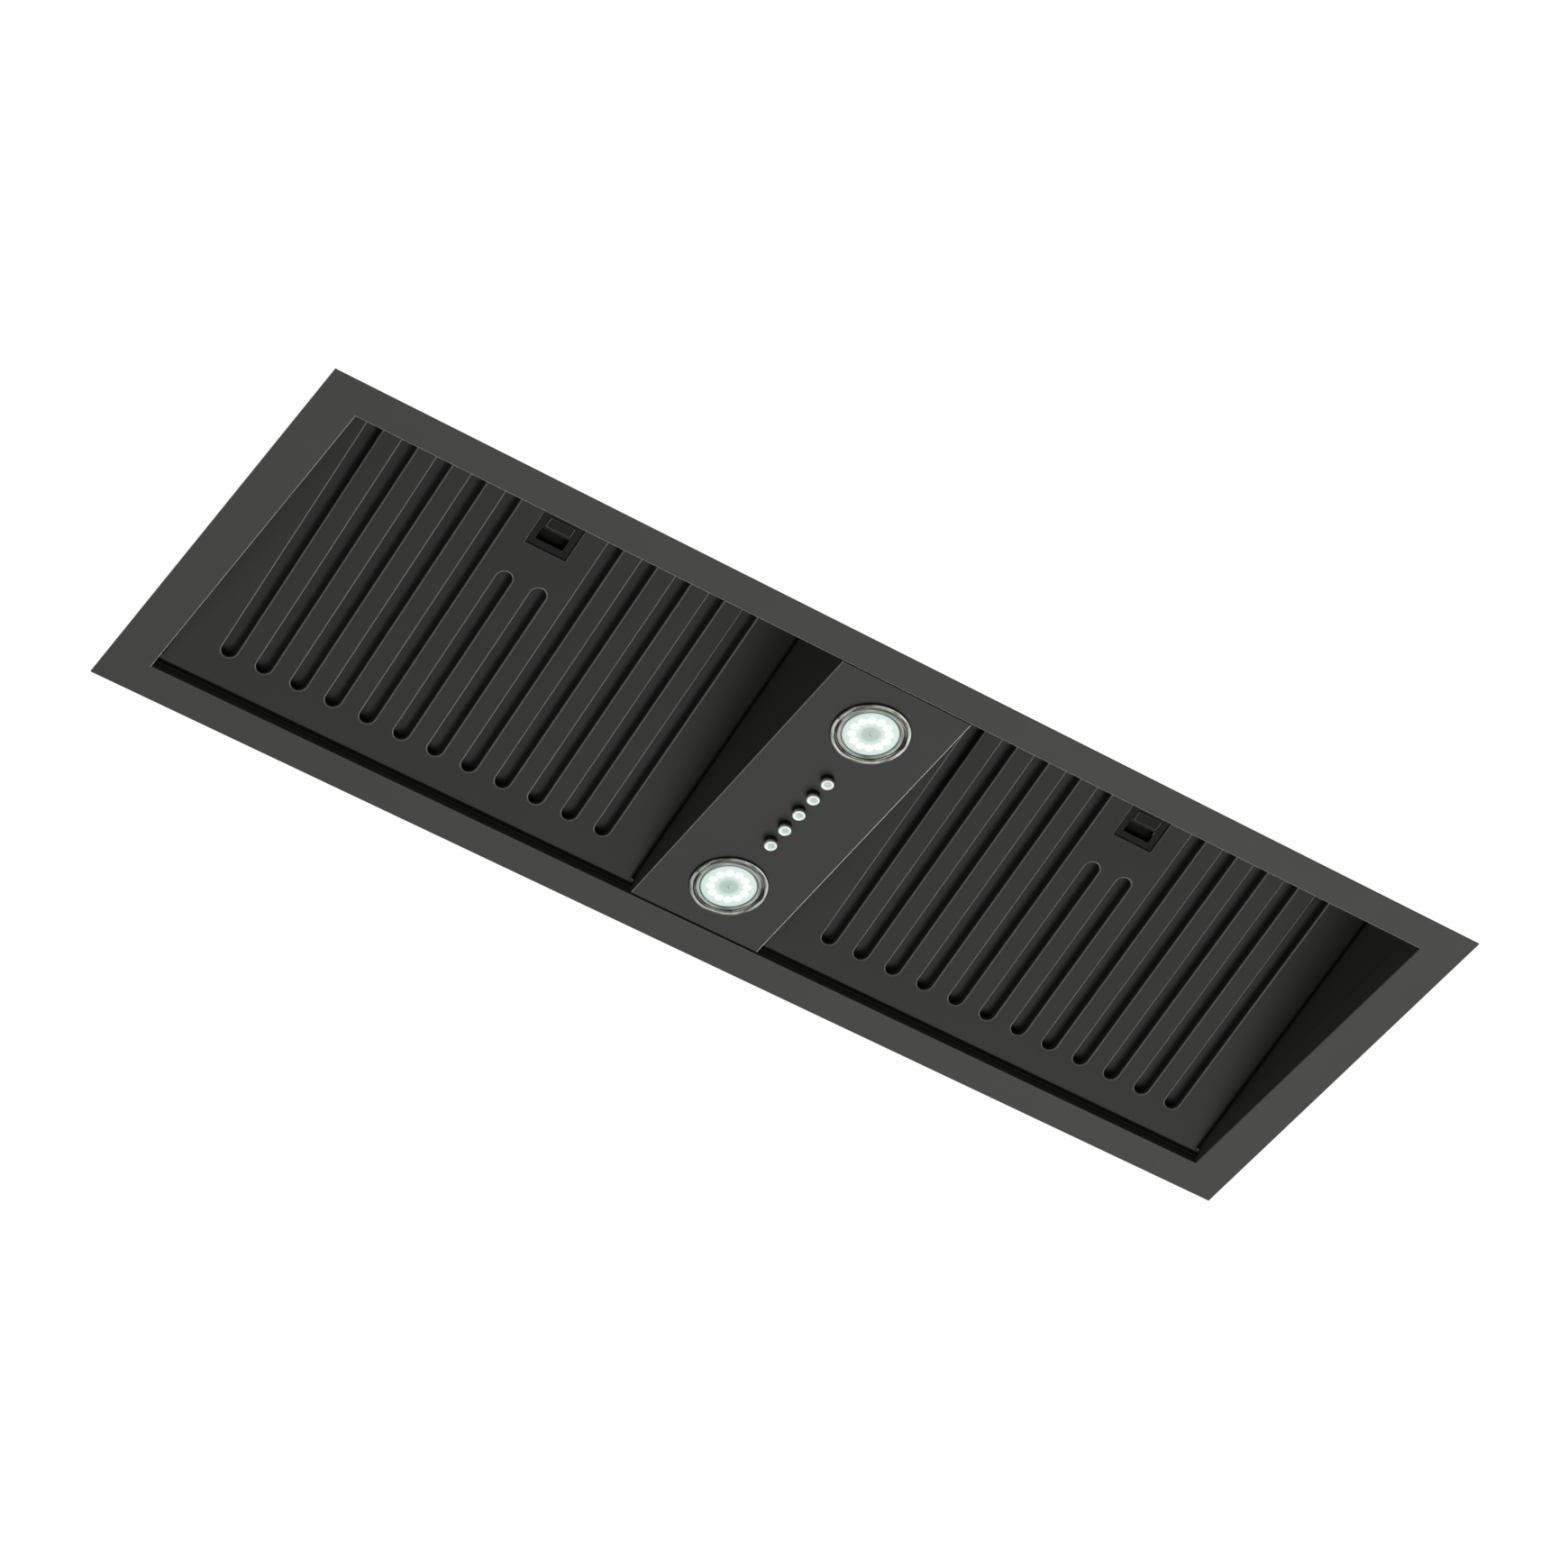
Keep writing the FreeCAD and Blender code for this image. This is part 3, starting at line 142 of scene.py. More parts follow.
BUTTON_OUTLINE = (
    (0, -5.6), (1.6, -5.62), (2.4, -5.68), (2.8, -5.82), (3.1, -5.9), (3.7, -5.9), (4.0, -5.8),
    (4.18, -5.55), (BUTTON_RADIUS, -5.2), (BUTTON_RADIUS, 0.6), (0, 0.6))
BUTTON_SHADE = (-4.9, -3.2)  # heights between which painted shade darkens the shaft towards the panel
BUTTON_BEVEL = 0.2
BUTTON_BACK = (  # half width, corner and heights of the retaining plate and the stem
    (5.5, 0.8, (0.6, 1.8)),
    (2.1, 0.3, (1.8, 14.8)))

# Screws and cable gland on the top side. Profiles are (growth of the loop, height).
SCREW_RADIUS = 4.0
SCREW_HEIGHT = 2.2
WASHER_OUTLINE = (
    (0, 0), (SCREW_RADIUS, 0), (SCREW_RADIUS, 0.35), (SCREW_RADIUS - 0.3, 0.55), (0, 0.55))
CROWN_RADIUS = SCREW_RADIUS - 0.5
CROWN_PROFILE = ((0, 0.5), (0, SCREW_HEIGHT - 0.4), (-0.45, SCREW_HEIGHT))
CASING_SCREW_INSET = 8.5
PLATE_SCREW_INSET = 8.0
SCROLL_SCREW_REACH = 42.43
DUCT_PLATE_SHEET = 1.0
GLAND_NUT = 17.0
NUT_PROFILE = ((-0.4, 0.0), (0, 0.4), (0, 5.0), (-0.5, 5.5))
CAP_RADIUS = 8.0
CAP_PROFILE = ((0, 5.5), (0, 9.5), (-0.8, 11.0), (-2.0, 12.0))
CAP_RIBS = 24
CAP_RIB_DEPTH = 0.35
BORE_RADIUS = 4.0
BORE_PROFILE = ((0.2, 0.0), (0.35, 12.0))

# Steps of round forms, and how far flat faces set the normals of bends
ARC_STEPS = 6
HALF_TURN_STEPS = 12
TURN_STEPS = 64
BEAD_STEPS = 24
LENS_STEPS = 20
BUTTON_STEPS = 48
WASHER_STEPS = 32
FLAT_WEIGHT = 80

# Materials: scales are per metre
BLACK = (0, 0, 0)
WHITE = (1, 1, 1)
SECOND_LOOK = 1
BLEND_STOPS = (0.3, 0.7)
GREY_BLUE = 0.965  # share of blue in a near-black coat's faintly warm grey
COAT_ZONES = (0.2, 0.42, 0.93, 0.99)  # by level lie: painted side shading to, painted fold highlights from and to, flats from
COAT_TURN = (-0.2, 0.2)  # from the front or left folds' painted highlight to that of the rear or right ones
COAT_SPREAD = 0.08
COAT_PEEL = 0.15
COAT_CLOUDS = 14
COAT_GRAIN = 1300
RUBBED_SMOOTH = 0.22
PLASTIC_GRAIN = 2200
PLASTIC_CLOUDS = 60
BRUSH_STRETCH = (1.0, 40.0, 40.0)
BRUSH_LINES = 90
ZINC_CRYSTALS = 230
ZINC_GRAIN = 700
BOARD_TRACKS = 160
MOTOR_LAYERS = 320
STREAK_STRETCH = (0.9, 240.0, 1.0)
STREAK_LINES = 1.6
GLASS_FACETS = 900
GLASS_SPECKS = 800
SPOT_COLOUR = (0.96, 1.0, 0.98)
SPOT_EDGE = (6.5, 15.0)  # square millimetres from an LED's middle
SPOT_RAGGED = 5.0
SPECK_LEVEL = 0.6
SPECK_REACH = 2.6
SPECK_SHADE = 0.5

# Stage, lights and camera, which is fitted to the photograph
FLOOR_Z = -4.6
FLOOR_HALF = 200
FLOOR_CLOUDS = 0.6
FLOOR_GLOW = 0.6
WORLD_LIGHT = 0.2
WORLD_WHITE = 1.0
LIGHTS = (  # name, place, size and power
    ("key", (2.1, 0.9, -3.7), 3.6, 135),
    ("fill", (-1.8, -0.2, -2.3), 1.5, 30),
    ("top", (-1.6, -2.8, 3.5), 5.5, 100),
    ("back", (1.9, 3.0, 3.3), 5.5, 90))
CAMERA_PLACE = (-1.55285, -2.29039, -2.9034)
CAMERA_AZIMUTH = 33.9415
CAMERA_CLIMB = 46.6082
CAMERA_LENS = 145.84
CAMERA_SENSOR = 36


# Loops: functions that give a closed outline's points, moved outwards by a growth


def arc(centre, radius, start, end, steps):
    """Points of an arc, in degrees, both ends included."""
    turns = [math.radians(start + (end - start) * step / steps) for step in range(steps + 1)]
    return [(centre[0] + radius * math.cos(turn), centre[1] + radius * math.sin(turn))
            for turn in turns]


def circle(radius, steps):
    """Points round the origin."""
    return arc((0, 0), radius, 0, 360 - 360 / steps, steps - 1)


def rounded_rect(across, along, radius):
    (left, right), (low, high) = across, along
    corners = [(right - radius, low + radius), (right - radius, high - radius),
               (left + radius, high - radius), (left + radius, low + radius)]

    def points(grow):
        return [point for number, centre in enumerate(corners)
                for point in arc(centre, radius + grow, 90 * number - 90, 90 * number, ARC_STEPS)]

    return points


def rounded_square(half, radius):
    return rounded_rect((-half, half), (-half, half), radius)


def obround(across, start, end):
    """A slot that is round at both ends."""
    rear, front = (across, -start - SLOT_HALF), (across, SLOT_HALF - end)

    def points(grow):
        reach = SLOT_HALF + grow
        return (arc(rear, reach, 0, 180, HALF_TURN_STEPS)
                + arc(front, reach, 180, 360, HALF_TURN_STEPS))

    return points


def square_outline(corners):
    """An anticlockwise outline whose corners are all square."""

    def points(grow):
        moved = []
        befores, afters = corners[-1:] + corners, corners[1:] + corners[:1]
        for before, corner, after in zip(befores, corners, afters):
            into = (Vector(corner) - Vector(before)).normalized()
            out = (Vector(after) - Vector(corner)).normalized()
            moved.append((corner[0] + grow * (into.y + out.y), corner[1] - grow * (into.x + out.x)))
        return moved

    return points


def hexagon(radius):
    def points(grow):
        return circle(radius + grow, 6)

    return points


def ribbed_circle(radius, ribs, depth):
    """A circle with small ribs round it."""

    def points(grow):
        reach = [radius + grow - depth * (step % 2) for step in range(2 * ribs)]
        return [arc((0, 0), far, 180 * step / ribs, 0, 1)[0] for step, far in enumerate(reach)]

    return points


# Meshes


def ring(mesh, points, height):
    return [mesh.verts.new((across, along, height)) for across, along in points]


def bridge(mesh, lower, upper, closed=True):
    """Faces between two rows of as many points."""
    for number in range(len(lower) - (not closed)):
        after = (number + 1) % len(lower)
        mesh.faces.new((lower[number], lower[after], upper[after], upper[number]))


def sweep(mesh, loop, profile):
    """Rings of a loop along a profile of (growth, height). Gives the first and the last ring."""
    rings = [ring(mesh, loop(grow), height) for grow, height in profile]
    for lower, upper in zip(rings, rings[1:]):
        bridge(mesh, lower, upper)
    return rings[0], rings[-1]


def fill(mesh, rings):
    """Fill the flat space between closed rings."""
    edges = []
    for points in rings:
        for start, end in zip(points, points[1:] + points[:1]):
            edges.append(mesh.edges.get((start, end)) or mesh.edges.new((start, end)))
    bmesh.ops.triangle_fill(mesh, edges=edges, use_beauty=True)


def plate(mesh, outline, holes, span, bevel):
    """A flat plate with softened edges."""
    low, high = span
    profile = [(-bevel, low), (0, low + bevel), (0, high - bevel), (-bevel, high)]
    ends = [sweep(mesh, outline, profile)]
    ends += [sweep(mesh, hole, [(-grow, height) for grow, height in profile]) for hole in holes]
    for rings in zip(*ends):
        fill(mesh, rings)


def turned(mesh, outline, steps=TURN_STEPS, closed=False):
    """Turn an outline of (radius, height) about the Z axis. A radius of 0 closes to a point."""
    rows = []
    for radius, height in outline:
        if radius == 0:
            rows.append([mesh.verts.new((0, 0, height))])
        else:
            rows.append(ring(mesh, circle(radius, steps), height))
    for lower, upper in zip(rows, rows[1:] + rows[:1] if closed else rows[1:]):
        if len(lower) == len(upper):
            bridge(mesh, lower, upper)
        else:
            point, around = (lower[0], upper) if len(lower) == 1 else (upper[0], lower)
            for start, end in zip(around, around[1:] + around[:1]):
                mesh.faces.new((point, start, end))


def new_mesh(name, mesh):
    """Mesh data of a working mesh, which is freed."""
    data = bpy.data.meshes.new(name)
    mesh.to_mesh(data)
    mesh.free()
    return data


def new_object(name, data):
    """An object of its data, in the scene."""
    made = bpy.data.objects.new(name, data)
    bpy.context.scene.collection.objects.link(made)
    return made


def join(mesh, part, place):
    """Move a mesh to a place and add it to another."""
    bmesh.ops.translate(part, verts=part.verts, vec=place)
    data = new_mesh("part", part)
    mesh.from_mesh(data)
    bpy.data.meshes.remove(data)


def paint(mesh, first, material):
    """Give a material's number to the faces made since the first."""
    mesh.faces.ensure_lookup_table()
    for face in mesh.faces[first:]:
        face.material_index = material


def face_outwards(mesh):
    bmesh.ops.recalc_face_normals(mesh, faces=mesh.faces)


def piece(name, mesh, looks, body, nodes=(), place=None):
    """Make an object of a mesh in millimetres, put it in place and let it ride on a body."""
    bmesh.ops.transform(mesh, matrix=Matrix.Scale(MM, 4), verts=mesh.verts)
    data = new_mesh(name, mesh)
    data.shade_smooth()
    for look in looks:
        data.materials.append(LOOKS[look])
    made = new_object(name, data)
    if place:
        made.matrix_world = place
    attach(made, body)
    if nodes:
        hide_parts(*nodes)
    return made


def even_shading(made):
    """Let the flat faces set the normals of the bends beside them."""
    weighted = made.modifiers.new("even_shading", "WEIGHTED_NORMAL")
    weighted.weight = FLAT_WEIGHT


def thicken(made, thickness, offset):
    """Give a surface the thickness of its sheet."""
    sheet = made.modifiers.new("sheet", "SOLIDIFY")
    sheet.thickness = thickness * MM
    sheet.offset = offset


def at(x, y, z=0.0):
    return Matrix.Translation((x * MM, y * MM, z * MM))


def in_cell(sign):
    """The place of a filter's own plane in the left or right cell."""
    tilt = Matrix.Rotation(math.radians(-FILTER_TILT), 4, "X")
    return at(sign * CELL_X, HINGE_Y, HINGE_Z) @ tilt


def box_of(cad_name):
    """A CAD node's lowest and highest corner, in millimetres."""
    return [Vector(corner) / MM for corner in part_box(cad_name)]


# Materials


def node(tree, kind, inputs, **settings):
    """Add a shader node. An input is a number, a colour or another node's output."""
    made = tree.nodes.new(kind)
    for name, setting in settings.items():
        setattr(made, name, setting)
    for name, given in inputs.items():
        if isinstance(given, bpy.types.NodeSocket):
            tree.links.new(given, made.inputs[name])
        else:
            made.inputs[name].default_value = given
    return made


def maths(tree, operation, *terms):
    return node(tree, "ShaderNodeMath", dict(enumerate(terms)), operation=operation).outputs[0]


def multiply(tree, colour, other):
    inputs = {0: colour, 1: other}
    return node(tree, "ShaderNodeVectorMath", inputs, operation="MULTIPLY").outputs[0]


def mix(tree, factor, low, high):
    inputs = {"Factor": factor, "A": low, "B": high}
    return node(tree, "ShaderNodeMix", inputs, data_type="VECTOR").outputs["Result"]


def map_range(tree, number, span, result=(0.0, 1.0), **settings):
    """A number's place in a span, spread over the result and held within it."""
    inputs = {"Value": number, "From Min": span[0], "From Max": span[1],
              "To Min": result[0], "To Max": result[1]}
    return node(tree, "ShaderNodeMapRange", inputs, **settings).outputs["Result"]


def axes(tree, vector):
    """A vector's X, Y and Z."""
    return node(tree, "ShaderNodeSeparateXYZ", {"Vector": vector}).outputs


def new_material(name, **sockets):
    """A material with its Principled shader's constant sockets set. Gives it with its tree and
    shader."""
    material = bpy.data.materials.new(name)
    material.use_nodes = True
    shader = material.node_tree.nodes["Principled BSDF"]
    for socket, number in sockets.items():
        shader.inputs[socket.replace("_", " ")].default_value = number
    return material, material.node_tree, shader


def own_place(tree):
    return node(tree, "ShaderNodeTexCoord", {}).outputs["Object"]


def texture(tree, kind, scale, **inputs):
    """A texture over the piece's own coordinates."""
    return node(tree, kind, {"Vector": own_place(tree), "Scale": scale, **inputs}).outputs


def noise(tree, scale, detail):
    return texture(tree, "ShaderNodeTexNoise", scale, Detail=detail)["Fac"]


def drawn_noise(tree, place, stretch, scale, detail):
    """Noise over a place whose axes are stretched."""
    drawn = node(tree, "ShaderNodeMapping", {"Vector": place, "Scale": stretch}).outputs["Vector"]
    inputs = {"Vector": drawn, "Scale": scale, "Detail": detail}
    return node(tree, "ShaderNodeTexNoise", inputs).outputs["Fac"]


def ramp(tree, factor, stops):
    """Colours along a factor, from stops of (position, colour)."""
    made = node(tree, "ShaderNodeValToRGB", {"Fac": factor})
    elements = made.color_ramp.elements
    elements.remove(elements[1])
    elements[0].position = stops[0][0]
    elements[0].color = (*stops[0][1], 1)
    for position, colour in stops[1:]:
        elements.new(position).color = (*colour, 1)
    return made.outputs["Color"]


def blend(tree, factor, low, high):
    """Colours between two shades."""
    return ramp(tree, factor, list(zip(BLEND_STOPS, (low, high))))


def shade(colour, share):
    return tuple(part * share for part in colour)


def grey(level):
    """A near-black coat's faintly warm grey."""
    return (level, level, GREY_BLUE * level)


def even(level):
    return (level, level, level)


def vary_colour(tree, shader, factor, colour, low, high):
    """A base colour between two shares of a colour."""
    varied = blend(tree, factor, shade(colour, low), shade(colour, high))
    tree.links.new(varied, shader.inputs["Base Color"])


def vary_roughness(tree, shader, factor, low, high):
    tree.links.new(map_range(tree, factor, (0, 1), (low, high)), shader.inputs["Roughness"])


def bump(tree, shader, height, strength, depth):
    inputs = {"Height": height, "Strength": strength, "Distance": depth * MM}
    raised = node(tree, "ShaderNodeBump", inputs)
    tree.links.new(raised.outputs["Normal"], shader.inputs["Normal"])


def by_lie(tree, lie, side, fold, flat):
    """Colours of a coat's upright sides, its folds and its flats."""
    return ramp(tree, lie, list(zip(COAT_ZONES, (side, fold, fold, flat))))


def coat(name, flat, folds, side, roughness, gloss):
    """Powder-coated sheet with orange peel, rubbed smooth on its folds. A painted highlight makes
    its folds paler, and its upright sides take a colour of their own as painted shading. Folds that
    face the front or the left have the first fold colour, and folds that face the rear or the right
    have the second."""
    material, tree, shader = new_material(name, Specular_IOR_Level=gloss)
    parts = axes(tree, node(tree, "ShaderNodeTexCoord", {}).outputs["Normal"])
    lie = maths(tree, "ABSOLUTE", parts["Z"])
    # Painted highlight on the folds and painted shading on the upright sides, picked by the
    # normal's lie
    front, rear = [by_lie(tree, lie, grey(side), grey(fold), grey(flat)) for fold in folds]
    way = map_range(tree, maths(tree, "ADD", parts["X"], parts["Y"]), COAT_TURN)
    colour = mix(tree, way, front, rear)
    rubbed = by_lie(tree, lie, BLACK, WHITE, BLACK)
    clouds = noise(tree, COAT_CLOUDS, 4.0)
    grain = noise(tree, COAT_GRAIN, 2.0)
    colour = multiply(tree, colour, blend(tree, clouds, grey(0.95), grey(1.05)))
    colour = multiply(tree, colour, blend(tree, grain, even(0.9), even(1.1)))
    tree.links.new(colour, shader.inputs["Base Color"])
    spread = map_range(tree, grain, (0, 1), (roughness - COAT_SPREAD, roughness + COAT_SPREAD))
    smooth = maths(tree, "MULTIPLY_ADD", rubbed, -RUBBED_SMOOTH, spread)
    tree.links.new(smooth, shader.inputs["Roughness"])
    bump(tree, shader, grain, COAT_PEEL, 0.08)
    return material


def plastic(name, colour, roughness):
    """Moulded plastic or rubber with a fine spark-eroded grain."""
    material, tree, shader = new_material(name, Specular_IOR_Level=0.35)
    grain = texture(tree, "ShaderNodeTexVoronoi", PLASTIC_GRAIN)["Distance"]
    clouds = noise(tree, PLASTIC_CLOUDS, 3.0)
    vary_colour(tree, shader, clouds, colour, 0.88, 1.1)
    vary_roughness(tree, shader, clouds, roughness - 0.07, roughness + 0.07)
    bump(tree, shader, grain, 0.2, 0.06)
    return material


def brushed(name, colour, roughness):
    """Bare metal with brush lines along the part's length."""
    material, tree, shader = new_material(name, Metallic=1.0)
    fibre = drawn_noise(tree, own_place(tree), BRUSH_STRETCH, BRUSH_LINES, 5.0)
    vary_colour(tree, shader, fibre, colour, 0.9, 1.1)
    vary_roughness(tree, shader, fibre, roughness - 0.08, roughness + 0.1)
    bump(tree, shader, fibre, 0.08, 0.03)
    return material


def spangled(name, colour, roughness):
    """Galvanised sheet with its zinc crystals."""
    material, tree, shader = new_material(name, Metallic=0.9)
    crystals = texture(tree, "ShaderNodeTexVoronoi", ZINC_CRYSTALS, Randomness=1.0)["Color"]
    shades = node(tree, "ShaderNodeSeparateColor", {"Color": crystals}).outputs["Red"]
    vary_colour(tree, shader, shades, colour, 0.9, 1.07)
    vary_roughness(tree, shader, shades, roughness - 0.06, roughness + 0.08)
    bump(tree, shader, noise(tree, ZINC_GRAIN, 2.0), 0.06, 0.04)
    return material


def circuit_board(name, colour, copper):
    """Solder mask with the tracks showing through."""
    material, tree, shader = new_material(name, Roughness=0.35)
    tracks = texture(tree, "ShaderNodeTexBrick", BOARD_TRACKS)["Fac"]
    tree.links.new(blend(tree, tracks, colour, copper), shader.inputs["Base Color"])
    bump(tree, shader, tracks, 0.2, 0.05)
    return material


def laminated(name, colour, roughness):
    """Motor body: painted laminations, seen as fine lines across its axis."""
    material, tree, shader = new_material(name, Metallic=0.3)
    inputs = {"Vector": own_place(tree), "Scale": MOTOR_LAYERS, "Distortion": 0.3}
    layers = node(tree, "ShaderNodeTexWave", inputs, bands_direction="Z").outputs["Fac"]
    vary_colour(tree, shader, layers, colour, 0.7, 1.15)
    vary_roughness(tree, shader, layers, roughness - 0.05, roughness + 0.1)
    bump(tree, shader, layers, 0.3, 0.15)
    return material


def polar(tree):
    """The turn and the distance from the piece's own Z axis."""
    parts = axes(tree, own_place(tree))
    turn = maths(tree, "ARCTAN2", parts["Y"], parts["X"])
    level = multiply(tree, own_place(tree), (1, 1, 0))
    radius = node(tree, "ShaderNodeVectorMath", {0: level}, operation="LENGTH").outputs["Value"]
    return turn, radius


def by_radius(tree, radius, reach, stops):
    """Colours by distance from the piece's own Z axis, from stops of (radius, colour)."""
    share = map_range(tree, radius, (0, reach * MM))
    return ramp(tree, share, [(distance / reach, colour) for distance, colour in stops])


def streaks_round(tree, turn, radius):
    """Noise drawn out round the Z axis."""
    place = node(tree, "ShaderNodeCombineXYZ", {"X": turn, "Y": radius}).outputs["Vector"]
    return drawn_noise(tree, place, STREAK_STRETCH, STREAK_LINES, 3.0)


def bezel_metal(name, colour, roughness):
    """Polished ring: patches of base colour round it, partly streaks from tooling and partly
    painted reflection.
    """
    material, tree, shader = new_material(name, Metallic=1.0)
    streaks = streaks_round(tree, *polar(tree))
    # Partly tooling streaks, partly painted reflection: broad bright and dark patches of base
    # colour round the ring
    streaks_and_painted_reflection = ramp(tree, streaks, [(0.4, shade(colour, 0.3)), (0.6, shade(colour, 1.75))])
    tree.links.new(streaks_and_painted_reflection, shader.inputs["Base Color"])
    vary_roughness(tree, shader, streaks, roughness - 0.05, roughness + 0.1)
    return material


def led_distance(tree, turn, radius):
    """The distance from the nearest LED's middle, squared, in square millimetres."""
    step = 2 * math.pi / LENS_COUNT
    aside = maths(tree, "COSINE", maths(tree, "WRAP", turn, step / 2, -step / 2))
    far = maths(tree, "MULTIPLY_ADD", radius, radius, (LENS_CIRCLE * MM) ** 2)
    near = maths(tree, "MULTIPLY", maths(tree, "MULTIPLY", radius, aside), 2 * LENS_CIRCLE * MM)
    return maths(tree, "DIVIDE", maths(tree, "SUBTRACT", far, near), MM ** 2)


def lit_glass(name):
    """Lamp glass: mint glow with a white spot over each LED, greyer and specked in the middle, and
    a clear streaky rim."""
    material, tree, shader = new_material(
        name, Roughness=0.25, Specular_IOR_Level=0.2, Emission_Strength=1.0)
    shader.inputs["Base Color"].default_value = (0.04, 0.05, 0.045, 1)
    turn, radius = polar(tree)
    middle, mint = (0.40, 0.50, 0.46), (0.59, 0.74, 0.67)
    groove, rim = (0.03, 0.035, 0.03), (0.26, 0.29, 0.25)
    glow = by_radius(tree, radius, GLASS_RADIUS, [
        (5.0, middle), (7.5, mint), (17.2, mint), (17.9, shade(mint, 0.7)), (18.2, groove),
        (18.8, groove), (19.2, rim), (19.9, shade(rim, 0.6)), (20.5, rim), (21.1, groove)])
    streaks = map_range(tree, streaks_round(tree, turn, radius), (0.3, 0.7), (-0.7, 1.0))
    streaky = by_radius(tree, radius, GLASS_RADIUS, [(17.9, BLACK), (18.6, WHITE)])
    glow = multiply(tree, glow, maths(tree, "MULTIPLY_ADD", streaks, streaky, 1.0))

    specks = maths(tree, "GREATER_THAN", noise(tree, GLASS_SPECKS, 1.0), SPECK_LEVEL)
    specks = maths(tree, "MULTIPLY", specks, maths(tree, "LESS_THAN", radius, SPECK_REACH * MM))
    glow = multiply(tree, glow, maths(tree, "MULTIPLY_ADD", specks, -SPECK_SHADE, 1.0))

    facets = texture(tree, "ShaderNodeTexVoronoi", GLASS_FACETS)["Distance"]
    ragged = maths(tree, "MULTIPLY_ADD", facets, SPOT_RAGGED, led_distance(tree, turn, radius))
    spots = map_range(tree, ragged, SPOT_EDGE, (1.0, 0.0), interpolation_type="SMOOTHSTEP")
    tree.links.new(mix(tree, spots, glow, SPOT_COLOUR), shader.inputs["Emission Color"])
    bump(tree, shader, facets, 0.2, 0.1)
    return material


def glowing(name, colour, strength):
    """A lit LED lens, brightest at its tip."""
    material, tree, shader = new_material(name, Roughness=0.2, Emission_Strength=strength)
    shader.inputs["Base Color"].default_value = (*colour, 1)
    height = axes(tree, own_place(tree))["Z"]
    side = map_range(tree, height, (LENS_TIP * MM, LENS_FOOT * MM))
    glow = blend(tree, side, colour, shade(colour, 0.8))
    tree.links.new(glow, shader.inputs["Emission Color"])
    return material


def button_end(name):
    """Push button: pale mint ring round a greyer middle, and a shaft that painted shade darkens
    towards the panel.
    """
    material, tree, shader = new_material(name, Metallic=0.15, Roughness=0.35)
    turn, radius = polar(tree)
    middle, rim, shaft = (0.40, 0.48, 0.45), (0.66, 0.78, 0.72), (0.5, 0.5, 0.48)
    colour = by_radius(tree, radius, 2 * BUTTON_RADIUS, [
        (2.1, middle), (2.7, rim), (3.85, rim), (4.1, shaft)])
    height = axes(tree, own_place(tree))["Z"]
    # Painted shade: the shaft turns near black towards the panel
    painted_shaft_shade = map_range(tree, height, [level * MM for level in BUTTON_SHADE], (1.0, 0.02))
    colour = multiply(tree, colour, painted_shaft_shade)
    streaks = streaks_round(tree, turn, radius)
    colour = multiply(tree, colour, blend(tree, streaks, even(0.9), even(1.05)))
    tree.links.new(colour, shader.inputs["Base Color"])
    return material


LOOK_TABLE = {
    coat: {  # flat, front or left and rear or right folds, side, roughness and gloss; the fold colours are painted highlights and the side colours painted shading
        "flange_coat": (0.030, (0.05, 0.36), 0.028, 0.5, 0.2),
        "casing_coat": (0.026, (0.026, 0.026), 0.026, 0.6, 0.15),
        "panel_coat": (0.022, (0.15, 0.75), 0.026, 0.5, 0.18),
        "filter_coat": (0.018, (0.10, 0.19), 0.02, 0.5, 0.12),
        "filter_rim": (0.018, (0.016, 0.016), 0.012, 0.5, 0.12),
        "latch_coat": (0.007, (0.05, 0.05), 0.004, 0.5, 0.06),
        "tab_coat": (0.009, (0.09, 0.12), 0.006, 0.5, 0.06),
        "baffle_coat": (0.012, (0.012, 0.012), 0.006, 0.5, 0.1),
        "rail_coat": (0.005, (0.005, 0.005), 0.005, 0.6, 0.02),
    },
    # Below, most rows are a colour and a roughness
    bezel_metal: {"lamp_ring": ((0.13, 0.134, 0.118), 0.24)},
    lit_glass: {"lamp_glass": ()},
    glowing: {"led": ((0.95, 1.0, 0.98), 1.0)},  # colour and strength
    circuit_board: {"board": ((0.006, 0.05, 0.018), (0.05, 0.16, 0.05))},  # mask and tracks
    brushed: {
        "heatsink": ((0.62, 0.63, 0.64), 0.35),
        "spring_steel": ((0.5, 0.5, 0.49), 0.3),
        "wheel_metal": ((0.58, 0.59, 0.6), 0.34),
        "steel": ((0.55, 0.55, 0.54), 0.28),
    },
    button_end: {"button_metal": ()},
    plastic: {
        "black_plastic": ((0.014, 0.014, 0.014), 0.5),
        "seal_rubber": ((0.01, 0.01, 0.01), 0.75),
        "terminal_plastic": ((0.6, 0.57, 0.48), 0.5),
    },
    spangled: {"zinc_sheet": ((0.5, 0.51, 0.52), 0.38)},
    laminated: {"motor_coat": ((0.05, 0.05, 0.052), 0.45)},
}
LOOKS = {name: make(f"{name}_look", *numbers)
         for make, rows in LOOK_TABLE.items() for name, numbers in rows.items()}
NODE_LOOKS = {"left_latch_tray": "rail_coat", "right_latch_tray": "rail_coat"}
for cad_name, cad_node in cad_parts.items():
    look_name = NODE_LOOKS.get(cad_name, cad_node.data.materials[0].name)
    cad_node.data.materials.clear()
    cad_node.data.materials.append(LOOKS[look_name])


# Filters


